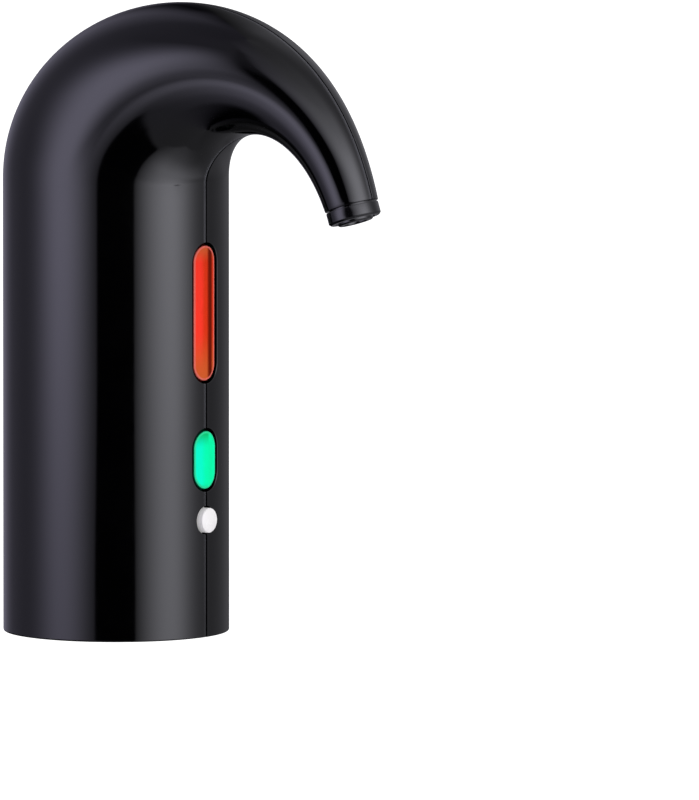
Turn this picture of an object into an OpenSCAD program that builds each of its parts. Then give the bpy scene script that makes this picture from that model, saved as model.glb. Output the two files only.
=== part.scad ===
// Electric wine aerator: a hooked pump head that stands on a bottle's neck.
// Millimetres. Origin at the seat of the bottle's lip, on the axis of the round body.
// +Z is up, +X points towards the spout, and y = 0 is the parting plane of the two shells.

/* [Body] */
// Radius of the round body
body_r = 29; // [28.5:0.5:33]
// Wall of the two shells
wall = 2.2; // [1.8:0.1:2.4]
// Height of the straight part of the body, from the base plane to the start of the hook
straight_h = 116.9; // [114:0.1:124]
// Depth and half width of the groove along the parting line
seam_groove = 0.25; // [0.1:0.05:0.4]
// Clearance between the shells and what they enclose
shell_gap = 0.2; // [0.1:0.05:0.4]

/* [Hook and spout] */
// Length of the spine's pull upwards out of the body
hook_rise = 27.2; // [25:0.1:30]
// Length of the spine's pull back along the spout
hook_lead = 53.7; // [50:0.1:57]
// Lean of the spout away from the vertical, in degrees
spout_tilt = 18.5; // [15:0.5:22]
// Distance from the body's axis to the end of the spout
spout_reach = 75.35; // [73:0.05:80]
// Height of the end of the shells at the spout, above the base plane
spout_h = 113.8; // [111:0.1:118]
// Pull of the hook's radius at its middle
hook_mid_r = 15.5; // [14.5:0.1:17]
// Pull of the hook's radius ahead of the spout
hook_neck_r = 9.4; // [9:0.1:10.5]
// Radius of the shells at the end of the spout
spout_r = 7.0; // [6.8:0.1:7.6]
// Length of the collar at the end of the spout
collar_len = 3.4; // [2.5:0.1:5]
// Width and depth of the groove between the shells and the collar
collar_groove = 0.35; // [0.2:0.05:0.6]
// Step from the shells in to the collar
collar_step = 0.15; // [0.05:0.05:0.4]
// Chamfer at the end of the collar
collar_chamfer = 0.5; // [0.2:0.1:0.8]
// How far the nozzle stands out of the collar
nozzle_proud = 0.7; // [0.3:0.1:1.5]
// Depth of the nozzle inside the shells
nozzle_depth = 5; // [4:0.5:6]
// Radius of the outlet
outlet_r = 3; // [2.5:0.1:3.4]
// Depth of the outlet
outlet_len = 6; // [4:0.5:7]
// Length of the barbs that the wine tube is pushed on
barb_len = 7; // [5:0.5:9]
// Wall of the barbs that the wine tube is pushed on
barb_wall = 0.65; // [0.5:0.05:0.8]

/* [Bottle neck] */
// Outside radius of the bottle's neck with its foil
neck_r = 14.5; // [13.5:0.1:15]
// Clearance between the neck and its socket
neck_clear = 0.9; // [0.5:0.1:1.2]
// Depth of the socket from the base plane to the lip's seat
socket_depth = 24; // [23.5:0.5:27]
// Wall of the neck socket
socket_wall = 1.8; // [1.5:0.1:2.4]
// Roof of the neck socket
roof_t = 2.2; // [1.8:0.1:3]
// Thickness of the stopper's flange, which seals on the lip
lip_seal_t = 1.5; // [1:0.1:2]
// Radius of the stopper, that of a bottle's bore
stopper_r = 9.25; // [9:0.05:9.6]
// Length of the stopper below the lip
stopper_len = 14.5; // [12:0.5:14.5]
// Chamfer at the stopper's lower end
stopper_chamfer = 1; // [0.5:0.1:1.5]
// Number of ribs on the stopper
stopper_ribs = 4; // [3:1:5]
// Width of the grooves between the ribs
rib_groove_w = 1.4; // [1:0.1:1.8]
// Depth of the grooves between the ribs
rib_groove_d = 0.6; // [0.3:0.1:0.9]
// Radius of the stopper's rigid core
core_r = 7.0; // [6.8:0.1:7.3]
// Thickness of the bead at the core's lower end
bead_t = 1.5; // [1:0.1:1.5]
// How far the bead stands out of the core
bead_out = 0.9; // [0.5:0.1:1.5]
// Radius of the core's flange on the socket's roof
core_flange_r = 10.4; // [10:0.1:11]
// Thickness of the core's flange
core_flange_t = 1.4; // [1.3:0.1:1.6]
// Width of the frame's ledge over the core's flange
core_ledge = 1; // [0.8:0.1:1.2]
// Radius of the air passage through the core
air_bore_r = 0.55; // [0.4:0.05:0.6]
// Distance of the air barb from the axis
air_barb_x = 7.0; // [6.9:0.1:7.2]
// Distance of the air passage in the core from the axis
air_bore_x = 5.85; // [5.7:0.05:6]

/* [Dip tube] */
// Bore radius of the lowest section
tube_bore_r = 1.7; // [1.5:0.05:1.7]
// Wall of each section
tube_wall = 0.4; // [0.3:0.05:0.4]
// Radial step from a section to the bore of the next
tube_step = 0.45; // [0.3:0.05:0.45]
// Running clearance at the necks and collars
tube_run = 0.06; // [0.04:0.01:0.09]
// Length of each section
tube_len = 95; // [85:1:96]
// Length of the guiding neck and of the collar
guide_len = 4; // [3:0.5:6]
// How far each section stands out of the one above it
tube_stagger = 0.6; // [0.4:0.1:0.8]
// Room left at the stop when a section is pulled out
tube_stop_gap = 0.4; // [0.2:0.1:1]
// Wall of the cap over the tube's housing
tube_cap_wall = 1.15; // [1:0.05:1.3]
// Length of the housing that its cap grips
tube_cap_grip = 5.7; // [4:0.1:6]
// Roof of the cap over the tube's housing
tube_cap_roof = 2; // [1.5:0.1:2.5]
// Radius of the strainer at the tube's foot
strainer_r = 3.6; // [3.3:0.1:4]
// Length of the strainer
strainer_len = 4.8; // [4:0.2:5]
// Length of the lowest section that the strainer grips
strainer_grip = 2; // [1:0.1:2]
// Floor of the strainer
strainer_floor = 1; // [0.8:0.1:1.2]
// Chamfer at the strainer's foot
strainer_chamfer = 0.6; // [0.3:0.1:0.8]
// Slots in the strainer
strainer_slots = 4; // [3:1:6]
// Width of the strainer's slots
strainer_slot_w = 1.0; // [0.6:0.1:1.2]

/* [Inner frame] */
// Thickness of the frame's plates
plate_t = 2.4; // [2:0.1:3]
// Side of the frame's square posts
post_w = 4; // [3.5:0.1:4.5]
// Distance of the rear posts' corners from the edge of the frame's plates
rear_post_edge = 1.2; // [1:0.1:1.5]
// Distance of the rear posts from the parting plane
rear_post_y = 14; // [13.5:0.1:14.2]
// Thickness of the cover over the base
cover_t = 2.4; // [2:0.1:3]
// Radius of the posts that take the base screws
foot_post_r = 2.8; // [2.6:0.1:3]
// Clearance between fixed pieces
fit = 0.15; // [0.1:0.05:0.25]
// Clearance of pieces that are pressed on each other
press_gap = 0.03; // [0.01:0.01:0.05]
// Gap between the dip tube's housing and the pump and cell beside it
side_gap = 1.35; // [0.8:0.05:1.4]

/* [Battery] */
// Gap between the cell and the shells
cell_clear = 2.4; // [2.2:0.1:4]
// Length of the cell
cell_len = 65; // [64:0.5:67]
// Width of the sleeve's rim over the cell's upper end
cell_edge = 1; // [0.5:0.1:1.5]
// Radius of the cell's raised contact
cell_contact_r = 3.1; // [2.5:0.1:3.5]
// Height of the cell's raised contact
cell_contact_t = 0.4; // [0.2:0.1:0.6]
// Thickness of the cell's welded tabs
tab_t = 0.3; // [0.2:0.05:0.4]
// Width of the cell's welded tabs
tab_w = 6; // [4:0.5:8]
// How far the tabs reach out beside the cell
tab_out = 1.5; // [1:0.1:2]

/* [Pump] */
// Radius of the motor's can
motor_r = 10.2; // [9.6:0.1:10.4]
// Half the thickness of the can across its flats
motor_flat = 7.7; // [7.4:0.1:8]
// Length of the motor's can
motor_len = 25; // [24:0.5:26]
// Sheet thickness of the can
motor_wall = 0.8; // [0.6:0.1:1]
// Radius of the motor's shaft
shaft_r = 1.0; // [0.9:0.05:1.1]
// Running clearance of the shaft in its bushes
shaft_run = 0.05; // [0.03:0.01:0.09]
// Thickness of the motor's end cap
end_cap_t = 2; // [1.5:0.1:2.5]
// Gap between the turning and the fixed pieces along the motor's axis
rotor_gap = 0.5; // [0.3:0.1:0.6]
// Radius of the commutator
commutator_r = 2.5; // [2:0.1:3]
// Length of the commutator
commutator_len = 3; // [2.5:0.1:3.5]
// Radius of the armature
armature_r = 6.0; // [5.5:0.1:6.2]
// Length of the armature
armature_len = 14; // [12:0.5:15]
// Distance of the magnets from the motor's lower end
magnet_rise = 5; // [4:0.5:6]
// Length of the magnets
magnet_len = 16; // [14:0.5:18]
// Air gap between the armature and the magnets
air_gap = 0.5; // [0.4:0.1:0.8]
// Height of the bush on the can
bush_h = 1.5; // [1:0.1:2]
// Radius of the bushes
bush_r = 3; // [2.5:0.1:3.5]
// Width of the pump's head
head_w = 22; // [21:0.5:23]
// Gap between the corners of the pump's head and the shells
pump_clear = 1.3; // [1.2:0.1:1.8]
// Distance of the pump screws from the head's sides
pump_screw_inset = 2; // [1.8:0.1:2.2]
// Height of the pump's base
pump_base_h = 12; // [11.5:0.5:13]
// Thinnest wall of the pump's base
pump_base_wall = 0.7; // [0.6:0.1:0.9]
// Throw of the crank pin
crank_throw = 1.5; // [1:0.1:1.6]
// Radius of the crank pin
crank_pin_r = 1.0; // [0.8:0.1:1.1]
// Radius of the crank disc
crank_r = 5.5; // [4:0.1:6]
// Thickness of the crank disc
crank_t = 4.6; // [4:0.1:4.8]
// Gap at the ends of the crank
crank_gap = 0.4; // [0.3:0.1:0.5]
// Height of the rocker above the crank disc
rocker_rise = 1.2; // [1:0.1:1.4]
// Play of the rocker in the pump's base
rocker_play = 0.6; // [0.4:0.1:0.8]
// Play of the crank pin in the rocker
pin_play = 0.3; // [0.2:0.1:0.4]
// Thickness of the rocker that drives the diaphragm
rocker_t = 1.6; // [1.2:0.1:1.8]
// Thickness of the diaphragm's sheet
diaphragm_t = 1.2; // [0.8:0.1:1.6]
// Gap between the diaphragm's cups and the wall round them
cup_clear = 0.2; // [0.1:0.05:0.4]
// Distance from the pump's axis to the diaphragm's cups
cup_inner = 1.6; // [1.5:0.1:1.7]
// Wall between the rocker's holes for the crank pin and the cups' nubs
nub_wall = 0.4; // [0.3:0.05:0.6]
// Thickness of the valve plate
valve_plate_t = 2.5; // [2:0.1:3]
// Thickness of the pump's cover
pump_cover_t = 3.5; // [3:0.1:4]
// Depth of the air channel in the pump's cover
channel_d = 1; // [0.6:0.1:1.4]
// Radius of the air ports in the valve plate
port_r = 0.8; // [0.5:0.1:0.85]

/* [Hoses] */
// Radius of the air hoses
hose_r = 2.0; // [1.9:0.05:2]
// Bore radius of the air hoses
hose_bore_r = 1.0; // [0.95:0.05:1.1]
// Length of the air barbs
air_barb_len = 5; // [4:0.5:5.5]
// Straight run of each air hose past its barb
hose_straight = 1; // [0.5:0.1:1.5]
// Distance of the check valve behind the axis
valve_x = 16; // [15.5:0.5:17]
// Distance of the check valve to the pump's side of the axis
valve_y = 5; // [4.5:0.5:5.5]
// Radius of the check valve
valve_r = 3.6; // [3:0.1:3.8]
// Length of the check valve's body
valve_len = 10; // [8:0.5:10.5]
// Wall of the check valve
valve_wall = 1; // [0.8:0.1:1.3]
// Thickness of the check valve's ends
valve_end_t = 2; // [1.5:0.1:2.5]
// Sweep of each bend in the lower air hose, in degrees
hose_sweep = 75; // [70:1:80]
// Outside radius of the wine tube
wine_tube_r = 3.5; // [3.2:0.1:3.6]
// Bore radius of the wine tube
wine_bore_r = 2.0; // [1.8:0.1:2.2]

/* [Keys] */
// Width of the pour key
pour_w = 9.0; // [8.5:0.1:9.5]
// Height of the pour key
pour_len = 34.9; // [32:0.1:38]
// Height of the pour key's middle above the base plane
pour_h = 83.5; // [82:0.1:85]
// How far the pour key lies below the body's surface
pour_sunk = 0.3; // [0.2:0.1:0.9]
// Width of the aerate key
aerate_w = 9.1; // [8.5:0.1:9.5]
// Height of the aerate key
aerate_len = 15; // [13:0.1:16]
// Height of the aerate key's middle above the base plane
aerate_h = 45.7; // [45:0.1:47]
// How far the aerate key lies below the body's surface
aerate_sunk = 0.15; // [0.1:0.05:0.5]
// Radius of the power key
power_r = 3.2; // [2.8:0.1:3.5]
// Height of the power key's middle above the base plane
power_h = 30.2; // [29.5:0.1:31]
// How far the power key's dome stands out of the body
power_proud = 1.6; // [1:0.05:2]
// Radius of the power key's dome
dome_r = 9; // [3.9:0.1:12]
// Gap round the pour and aerate keys
lens_gap = 0.7; // [0.3:0.05:0.75]
// Gap round the power key
key_gap = 0.45; // [0.3:0.05:0.6]
// How far each key's rim reaches behind the shells
key_lip = 1.2; // [0.8:0.1:1.2]
// Thickness of each key's rim
key_rim_t = 1.2; // [1:0.1:1.5]
// Travel of the keys
key_travel = 0.8; // [0.5:0.1:1]

/* [Electronics] */
// Width of the circuit board
board_w = 24; // [23:0.5:26]
// Edge of the circuit board past its lowest switch and its highest lamp
board_edge = 0.1; // [0.05:0.05:0.2]
// Distance of the board screws from the board's sides
board_screw_inset = 2.5; // [2.4:0.1:2.8]
// Distance of the board screws from the frame's end plates
board_screw_rise = 8; // [7.5:0.1:8.5]
// Thickness of the circuit boards
board_t = 1.6; // [1.2:0.1:1.6]
// Side of the key switches
switch_w = 4.5; // [4.2:0.1:4.8]
// Height of the key switches
switch_t = 3; // [2.8:0.1:3.5]
// Radius of the switch plungers
plunger_r = 1.75; // [1.5:0.05:2]
// Length of the plunger outside the switch
plunger_out = 1.5; // [1.3:0.1:2]
// Length of the plunger inside the switch
plunger_in = 1.0; // [0.8:0.1:1.1]
// Room behind a plunger when its key is pressed
plunger_room = 0.3; // [0.2:0.05:0.3]
// Running clearance of the plungers
plunger_run = 0.05; // [0.03:0.01:0.09]
// Width of the lamps behind the keys
led_w = 2; // [1.6:0.1:2.4]
// Length of the lamps behind the keys
led_len = 1.25; // [0.8:0.05:1.5]
// Height of the lamps behind the keys
led_t = 0.8; // [0.6:0.1:1]
// Spacing of the lamps behind the pour key
led_pitch = 6; // [5.5:0.5:7]
// Side of the control chip
chip_w = 5; // [4:0.5:6]
// Height of the control chip
chip_t = 1; // [0.8:0.1:1.4]

/* [Charging] */
// Width of the charging socket
usb_w = 8.94; // [8.8:0.02:9]
// Height of the charging socket
usb_t = 3.26; // [3.2:0.02:3.4]
// Length of the charging socket
usb_len = 7.3; // [7:0.1:8]
// Sheet thickness of the charging socket
usb_wall = 0.3; // [0.2:0.05:0.4]
// Thickness of the charging socket's back
usb_back_t = 1; // [0.6:0.1:1.4]
// Width of the charging socket's tongue
usb_tongue_w = 6.5; // [6:0.1:6.8]
// Thickness of the charging socket's tongue
usb_tongue_t = 0.7; // [0.6:0.05:0.8]
// Length of the charging socket's tongue
usb_tongue_len = 5.2; // [4.8:0.1:5.4]
// Height of the charging socket above the base plane
usb_h = 36.5; // [36:0.1:38]
// How far the charging socket lies below the body's surface
usb_sunk = 0.6; // [0.3:0.1:1]
// Width of the charging board
usb_board_w = 12; // [11:0.5:13]
// Length of the charging board
usb_board_len = 11; // [10:0.5:12]
// Distance of the charging screws from the board's sides
usb_screw_inset = 2.4; // [2.2:0.1:2.6]
// Wall of the posts under the charging board
usb_post_wall = 1; // [0.8:0.1:1.2]

/* [Screws] */
// Radius of the screws' threads
screw_r = 1.1; // [0.9:0.05:1.2]
// Radius of the screws' heads
head_r = 2.0; // [1.7:0.1:2.1]
// Height of the screws' heads
head_t = 1.2; // [0.9:0.1:1.4]
// Width of the cross slots in the screws' heads
slot_w = 0.5; // [0.4:0.05:0.6]
// Length of the cross slots in the screws' heads
slot_len = 2.4; // [2:0.1:2.8]
// Depth of the cross slots in the screws' heads
slot_d = 0.6; // [0.4:0.1:0.7]
// Room past the end of a screw in its hole
screw_end_gap = 0.2; // [0.1:0.05:0.3]
// Length of the base screws below their heads
base_screw_len = 6.8; // [5:0.1:9]
// Length of the board screws below their heads
board_screw_len = 5; // [4:0.5:5]
// Length of the frame screws below their heads
frame_screw_len = 3.9; // [3.6:0.1:4.1]
// Length of the pump screws below their heads
pump_screw_len = 13; // [11:0.5:15]
// Length of the charging screws below their heads
charging_screw_len = 4.5; // [4:0.1:6]

/* [Wires] */
// Radius of the insulated wires
wire_r = 0.5; // [0.4:0.05:0.6]

/* [Hidden] */
$fn = 96;
// Overlap that fuses two shapes of one solid
eps = 0.01;
// How far a cut runs past the face that it opens
over = 1;
// Facets of the shells, the hoses and the wires
hook_rings = 36;
half_sides = 24;
wine_rings = 18;
wine_sides = 16;
hose_rings = 12;
hose_sides = 12;
wire_sides = 8;

// Body and hook
inner_r = body_r - wall;
base_z = -socket_depth;
hook_z = base_z + straight_h;
tip_x = spout_reach;
tip_z = base_z + spout_h;
tip_dir = [sin(spout_tilt), -cos(spout_tilt)];
spine = [[0, hook_z], [0, hook_z + hook_rise], [tip_x, tip_z] - hook_lead * tip_dir, [tip_x, tip_z]];
collar_r = spout_r - collar_step;
nozzle_r = spout_r - wall - fit;
wine_barb_r = wine_bore_r - press_gap;
wine_flow_r = wine_barb_r - barb_wall;

// Bottle neck
socket_r = neck_r + neck_clear;
socket_out_r = socket_r + socket_wall;
roof_z = lip_seal_t;
roof_top = roof_z + roof_t;
core_bottom = -stopper_len - bead_t;

// Dip tube: level 0 is the lowest section and level 3 is the fixed housing
function tube_in(level) = tube_bore_r + level * (tube_wall + tube_step);
function tube_out(level) = tube_in(level) + tube_wall;
function tube_low(level) = core_bottom - (3 - level) * tube_stagger;
housing_r = tube_out(3);
housing_top = core_bottom + tube_len + 2 * tube_stop_gap;
tube_cap_top = housing_top + tube_cap_roof;
tube_cap_low = housing_top - tube_cap_grip;
tube_cap_in = housing_r + press_gap;
tube_cap_r = tube_cap_in + tube_cap_wall;

// Inner frame
frame_r = inner_r - shell_gap;
low_top = roof_top + plate_t;
cell_z = low_top + tab_t;
high_z = cell_z + cell_len + tab_t;
high_top = high_z + plate_t;
beside_tube = max(housing_r + side_gap, tube_cap_r + fit);
cell_r = (inner_r - cell_clear - beside_tube) / 2;
cell_y = beside_tube + cell_r;
tab_reach = cell_r + tab_out;
head_d = sqrt(pow(inner_r - pump_clear, 2) - pow(head_w / 2, 2)) - beside_tube;
pump_y = -(beside_tube + head_d / 2);
rear_post_x = sqrt(pow(frame_r - rear_post_edge, 2) - pow(rear_post_y + post_w / 2, 2));
foot_post_at = (socket_out_r + inner_r) / 2;
foot_post_angles = [60, 180, 300];
frame_screw_at = core_flange_r + fit + head_r;

// Pump, from the motor up
motor_top = low_top + motor_len;
pump_base_top = motor_top + pump_base_h;
crank_z = motor_top + bush_h + crank_gap;
crank_top = crank_z + crank_t;
cavity_r = head_d / 2 - pump_base_wall;
cup_r = (cavity_r - cup_clear - cup_inner) / 2;
cup_x = cup_inner + cup_r;
pin_hole_r = crank_throw + crank_pin_r + pin_play;
nub_r = cup_x - pin_hole_r - nub_wall - fit / 2;
rocker_z = crank_top + rocker_rise;
rocker_top = rocker_z + rocker_t;
valve_plate_z = pump_base_top + diaphragm_t;
pump_cover_z = valve_plate_z + valve_plate_t;
pump_top = pump_cover_z + pump_cover_t;
air_barb_r = hose_bore_r - press_gap;
pump_screw_at = [head_w / 2, head_d / 2] - pump_screw_inset * [1, 1];

// Air line: the check valve stands on the middle plate, level with the top of the pump
valve_top = pump_top;
valve_z = valve_top - valve_len;
mid_z = valve_z - plate_t;
core_barb_z = roof_top + core_flange_t;
drop_run = norm([valve_x - air_barb_x, valve_y]);
drop_bend_r = drop_run / (2 * (1 - cos(hose_sweep)));
drop_low = core_barb_z + air_barb_len + hose_straight;
drop_high = drop_low + 2 * drop_bend_r * sin(hose_sweep);

// Keys and electronics, from the body's surface inwards
pour_z = base_z + pour_h;
aerate_z = base_z + aerate_h;
power_z = base_z + power_h;
rim_half_w = max(pour_w, aerate_w) / 2 + key_lip;
rim_front = sqrt(pow(inner_r, 2) - pow(rim_half_w, 2)) - shell_gap;
rim_back = rim_front - key_rim_t;
switch_top = rim_back - plunger_out;
board_front = switch_top - switch_t;
board_back = board_front - board_t;
board_low = power_z - switch_w / 2 - board_edge;
board_top = max(high_top, pour_z + 2 * led_pitch + led_len / 2 + board_edge);
post_back = board_back - post_w;
key_heights = [pour_z, aerate_z, power_z];
board_screw_y = board_w / 2 - board_screw_inset;
board_screw_z = [low_top + board_screw_rise, high_z - board_screw_rise];
usb_z = base_z + usb_h;
usb_face = -body_r + usb_sunk;
usb_board_top = usb_z - usb_t / 2;
usb_board_x = usb_face + usb_len / 3;
usb_board_low = usb_board_top - board_t;
usb_post_x = usb_board_x + usb_board_len - usb_screw_inset;
usb_post_y = usb_board_w / 2 - usb_screw_inset;

// Wires, as points chosen along their routes from the tabs, motor and charging board to the circuit board
board_wire_x = [board_back - 2, board_back];
battery_wires_route = [for (end = [[high_z, -1], [low_top, 1]]) let (z = end[0], s = end[1]) [
    [tab_reach - 0.6, cell_y, z + s * (tab_t + wire_r)], [post_back - 2.6, cell_y - 1.4, z + s * 1.2],
    [post_back - 2, 12, z + s * 1.6], [post_back - 1.4, 8.6, z + s * 2.4], [post_back, 5.6, z + s * 4.4],
    [board_wire_x[0], 4.5, z + s * 7], [board_wire_x[1], 4.5, z + s * 7]
]];
motor_wire_x = (motor_r + post_back) / 2;
motor_wires_route = [for (z = [low_top + 2, low_top + 4.4]) [
    [motor_r + fit, pump_y + 2, z], [motor_wire_x - 1, pump_y + 2.4, z], [motor_wire_x, -10.6, z + 0.4],
    [motor_wire_x, -8, z + 1.4], [post_back, -5.6, z + 3.4],
    [board_wire_x[0], -4.8, z + 5.6], [board_wire_x[1], -4.8, z + 5.6]
]];
charging_wire_z = usb_board_top - board_t / 2;
charging_wire_y = (housing_r + beside_tube) / 2;
charging_wires_route = [for (s = [-1, 1])
    let (z = charging_wire_z, y = charging_wire_y, x = usb_board_x + usb_board_len) [
    [x, 3.2 + s, z], [x + 1.2, 3.2 + s, z],
    [x + 4.4, 4.2, z + s * 0.7], [x + 8, y, z + s * 0.8], [0, y, z + s * 0.8], [6, y, z + s * 0.8],
    [post_back - 4.2, 4, z + 1 + s * 0.8], [post_back - 0.7, 2, z + 2 + s * 0.8],
    [board_wire_x[0], 1.6, z + 2.4 + s * 0.8], [board_wire_x[1], 1.6, z + 2.4 + s * 0.8]
]];

// Point on a Bezier curve, from its control points
function bezier(c, u) =
    len(c) == 1 ? c[0] : bezier([for (i = [0 : len(c) - 2]) (1 - u) * c[i] + u * c[i + 1]], u);

// Derivative of a Bezier curve
function slope(c, u) = (len(c) - 1) * bezier([for (i = [0 : len(c) - 2]) c[i + 1] - c[i]], u);

// Radius law of a skin that lies a given depth below the hook's surface
function hook_radii(depth) = [body_r, body_r, hook_mid_r, hook_neck_r, spout_r] - depth * [1, 1, 1, 1, 1];

// One ring of the hook as [centre, radius, outward normal], where the skin touches the rolling ball
function hook_ring(u, depth) =
    let (run = slope(spine, u), speed = norm(run), along = run / speed)
    let (ball = bezier(hook_radii(depth), u), grow = u < 1 ? slope(hook_radii(depth), u) / speed : 0)
    [bezier(spine, u) - ball * grow * along, ball * sqrt(1 - grow * grow), [-along[1], along[0]]];

// Point on a ring at a given angle from the outer rail
function on_ring(ring, angle, r) =
    let (flat = ring[0] + r * cos(angle) * ring[2]) [flat[0], r * sin(angle), flat[1]];

// Section of the left half shell: the outer skin with its seam chamfers, then the inner skin back
function half_section(u) =
    let (skin = hook_ring(u, 0), lining = hook_ring(u, wall))
    let (edge = asin(seam_groove / skin[1]), arc = (180 - 2 * edge) / half_sides)
    concat(
        [on_ring(skin, 0, skin[1] - seam_groove)],
        [for (i = [0 : half_sides]) on_ring(skin, edge + i * arc, skin[1])],
        [on_ring(skin, 180, skin[1] - seam_groove)],
        [for (i = [half_sides : -1 : 0]) on_ring(lining, 180 * i / half_sides, lining[1])]
    );

// Triangles that close a half section, as a strip from the outer skin to the inner one
function half_cap(first) =
    let (top = half_sides + 2, count = 2 * half_sides + 4)
    concat(
        [for (i = [0 : half_sides - 1]) let (a = i + 1, b = count - 1 - i)
            each [[a, a + 1, b] + first * [1, 1, 1], [a + 1, b - 1, b] + first * [1, 1, 1]]],
        [[0, 1, count - 1] + first * [1, 1, 1], [top - 1, top, top + 1] + first * [1, 1, 1]]
    );

// Ring of points square to a path, turned from a fixed reference direction
function tube_ring(centre, along, ref, r, sides) =
    let (t = along / norm(along), n = cross(ref, t) / norm(cross(ref, t)), b = cross(t, n))
    [for (i = [0 : sides - 1]) centre + r * (cos(360 * i / sides) * n + sin(360 * i / sides) * b)];

// Direction of a path at one of its points
function heading(path, i) = path[min(i + 1, len(path) - 1)] - path[max(i - 1, 0)];

// Triangles between each ring and the next, in a row of rings with equally many points
function ring_sides(rings, count) = [
    for (j = [0 : rings - 1], i = [0 : count - 1])
        let (k = (i + 1) % count, a = j * count + i, b = j * count + k)
        each [[a, b, b + count], [a, b + count, a + count]]
];

// Solid through a row of rings, closed by a fan at each end
module skin(rings) {
    count = len(rings[0]);
    last = len(rings) - 1;
    start = [for (i = [1 : count - 2]) [0, i + 1, i]];
    end = [for (i = [1 : count - 2]) [0, i, i + 1] + last * count * [1, 1, 1]];
    polyhedron([for (ring = rings) each ring], concat(ring_sides(last, count), start, end));
}

// Solid through a loop of rings, where the last ring repeats the first
module ring_loop(rings) {
    count = len(rings[0]);
    last = len(rings) - 1;
    faces = [for (f = ring_sides(last, count)) [for (v = f) v % (last * count)]];
    polyhedron([for (j = [0 : last - 1]) each rings[j]], faces);
}

// Hose along a path in one plane with a given normal: rings along the skin, then back through the bore.
// The bore's rings are drawn round their circle, so that a round barb clears their flats.
module hose(path, normal, r, bore, sides) {
    last = len(path) - 1;
    bore_r = bore / cos(180 / sides);
    outer = [for (i = [0 : last]) tube_ring(path[i], heading(path, i), normal, r, sides)];
    inner = [for (i = [last : -1 : 0]) tube_ring(path[i], heading(path, i), normal, bore_r, sides)];
    ring_loop(concat(outer, inner, [outer[0]]));
}

// Tube of plain circular section
module pipe(r, bore, h) {
    rotate_extrude() translate([bore, 0]) square([r - bore, h]);
}

// Outline with round ends
module slot_outline(w, len) {
    square([w, len - w], center = true);
    for (s = [-1, 1]) translate([0, s * (len - w) / 2]) circle(d = w);
}

// Prism with round ends that points along +X
module slot_prism(w, len, from, to, z) {
    translate([from, 0, z]) rotate([90, 0, 90]) linear_extrude(to - from) slot_outline(w, len);
}

// Round pin that points along +X
module front_pin(r, from, to, z) {
    translate([from, 0, z]) rotate([0, 90, 0]) cylinder(r = r, h = to - from);
}

// Places what follows at the end of the spout, with +Z along the outflow
module at_tip() {
    translate([tip_x, 0, tip_z]) rotate([0, 180 - spout_tilt, 0]) children();
}

// Places what follows on the pump's axis
module at_pump(z) {
    translate([0, pump_y, z]) children();
}

// Screw with a round cross-slotted head, the head up and its seat at z = 0
module screw(len) {
    difference() {
        union() {
            cylinder(r = head_r, h = head_t);
            translate([0, 0, -len]) cylinder(r = screw_r, h = len + eps);
        }
        for (turn = [0, 90]) rotate(turn)
            translate([-slot_len / 2, -slot_w / 2, head_t - slot_d]) cube([slot_len, slot_w, head_t]);
    }
}

// Skin of the left half shell: the straight part up from the base, then the hook
module half_skin() {
    count = 2 * half_sides + 4;
    last = hook_rings + 1;
    base = [for (p = half_section(0)) p - [0, 0, straight_h]];
    hook = [for (i = [0 : hook_rings]) each half_section(i / hook_rings)];
    start = [for (f = half_cap(0)) [f[2], f[1], f[0]]];
    polyhedron(concat(base, hook), concat(ring_sides(last, count), start, half_cap(last * count)));
}

// Left half shell, with its halves of the openings on the parting line
module half_shell() {
    difference() {
        half_skin();
        slot_prism(pour_w + 2 * lens_gap, pour_len + 2 * lens_gap, rim_back, body_r + over, pour_z);
        slot_prism(aerate_w + 2 * lens_gap, aerate_len + 2 * lens_gap, rim_back, body_r + over, aerate_z);
        front_pin(power_r + key_gap, rim_back, body_r + over, power_z);
        translate([-body_r - over, 0, usb_z]) rotate([90, 0, 90]) linear_extrude(2 * wall + over)
            slot_outline_wide(usb_w + 2 * fit, usb_t + 2 * fit);
    }
}

// Outline with round ends that lies on its side
module slot_outline_wide(w, t) {
    rotate(90) slot_outline(t, w);
}

module left_shell() color("#151517") half_shell();

module right_shell() color("#151517") mirror([0, 1, 0]) half_shell();

module base_cover() color("#1b1b1d") {
    difference() {
        translate([0, 0, base_z]) pipe(inner_r - fit, socket_out_r + fit, cover_t);
        for (a = foot_post_angles) rotate(a) translate([foot_post_at, 0, base_z]) {
            translate([0, 0, -over]) cylinder(r = screw_r + fit, h = cover_t + 2 * over);
            translate([0, 0, -over]) cylinder(r = head_r + fit, h = head_t + over);
        }
    }
}

module spout_collar() color("#1a1a1c") at_tip() {
    inside = nozzle_r + fit / 2;
    full = collar_groove + collar_len;
    rotate_extrude() polygon([
        [inside, 0], [collar_r - collar_groove, 0], [collar_r - collar_groove, collar_groove],
        [collar_r, collar_groove], [collar_r, full - collar_chamfer], [collar_r - collar_chamfer, full],
        [inside + collar_chamfer, full], [inside, full - 2 * collar_chamfer]
    ]);
}

module spout_nozzle() color("#202022") at_tip() {
    end = collar_groove + collar_len + nozzle_proud;
    rotate_extrude() polygon([
        [wine_flow_r, -nozzle_depth - barb_len], [wine_barb_r, -nozzle_depth - barb_len],
        [wine_barb_r, -nozzle_depth], [nozzle_r, -nozzle_depth],
        [nozzle_r, end - nozzle_proud / 2], [nozzle_r - nozzle_proud / 2, end],
        [outlet_r, end], [outlet_r, end - outlet_len], [wine_flow_r, end - outlet_len]
    ]);
}

// Key whose face follows the round body
module round_ended_key(w, len, z, sunk) {
    intersection() {
        slot_prism(w, len, rim_front - eps, body_r + over, z);
        translate([0, 0, z - len]) cylinder(r = body_r - sunk, h = 2 * len);
    }
    slot_prism(w + 2 * key_lip, len + 2 * key_lip, rim_back, rim_front, z);
}

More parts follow.
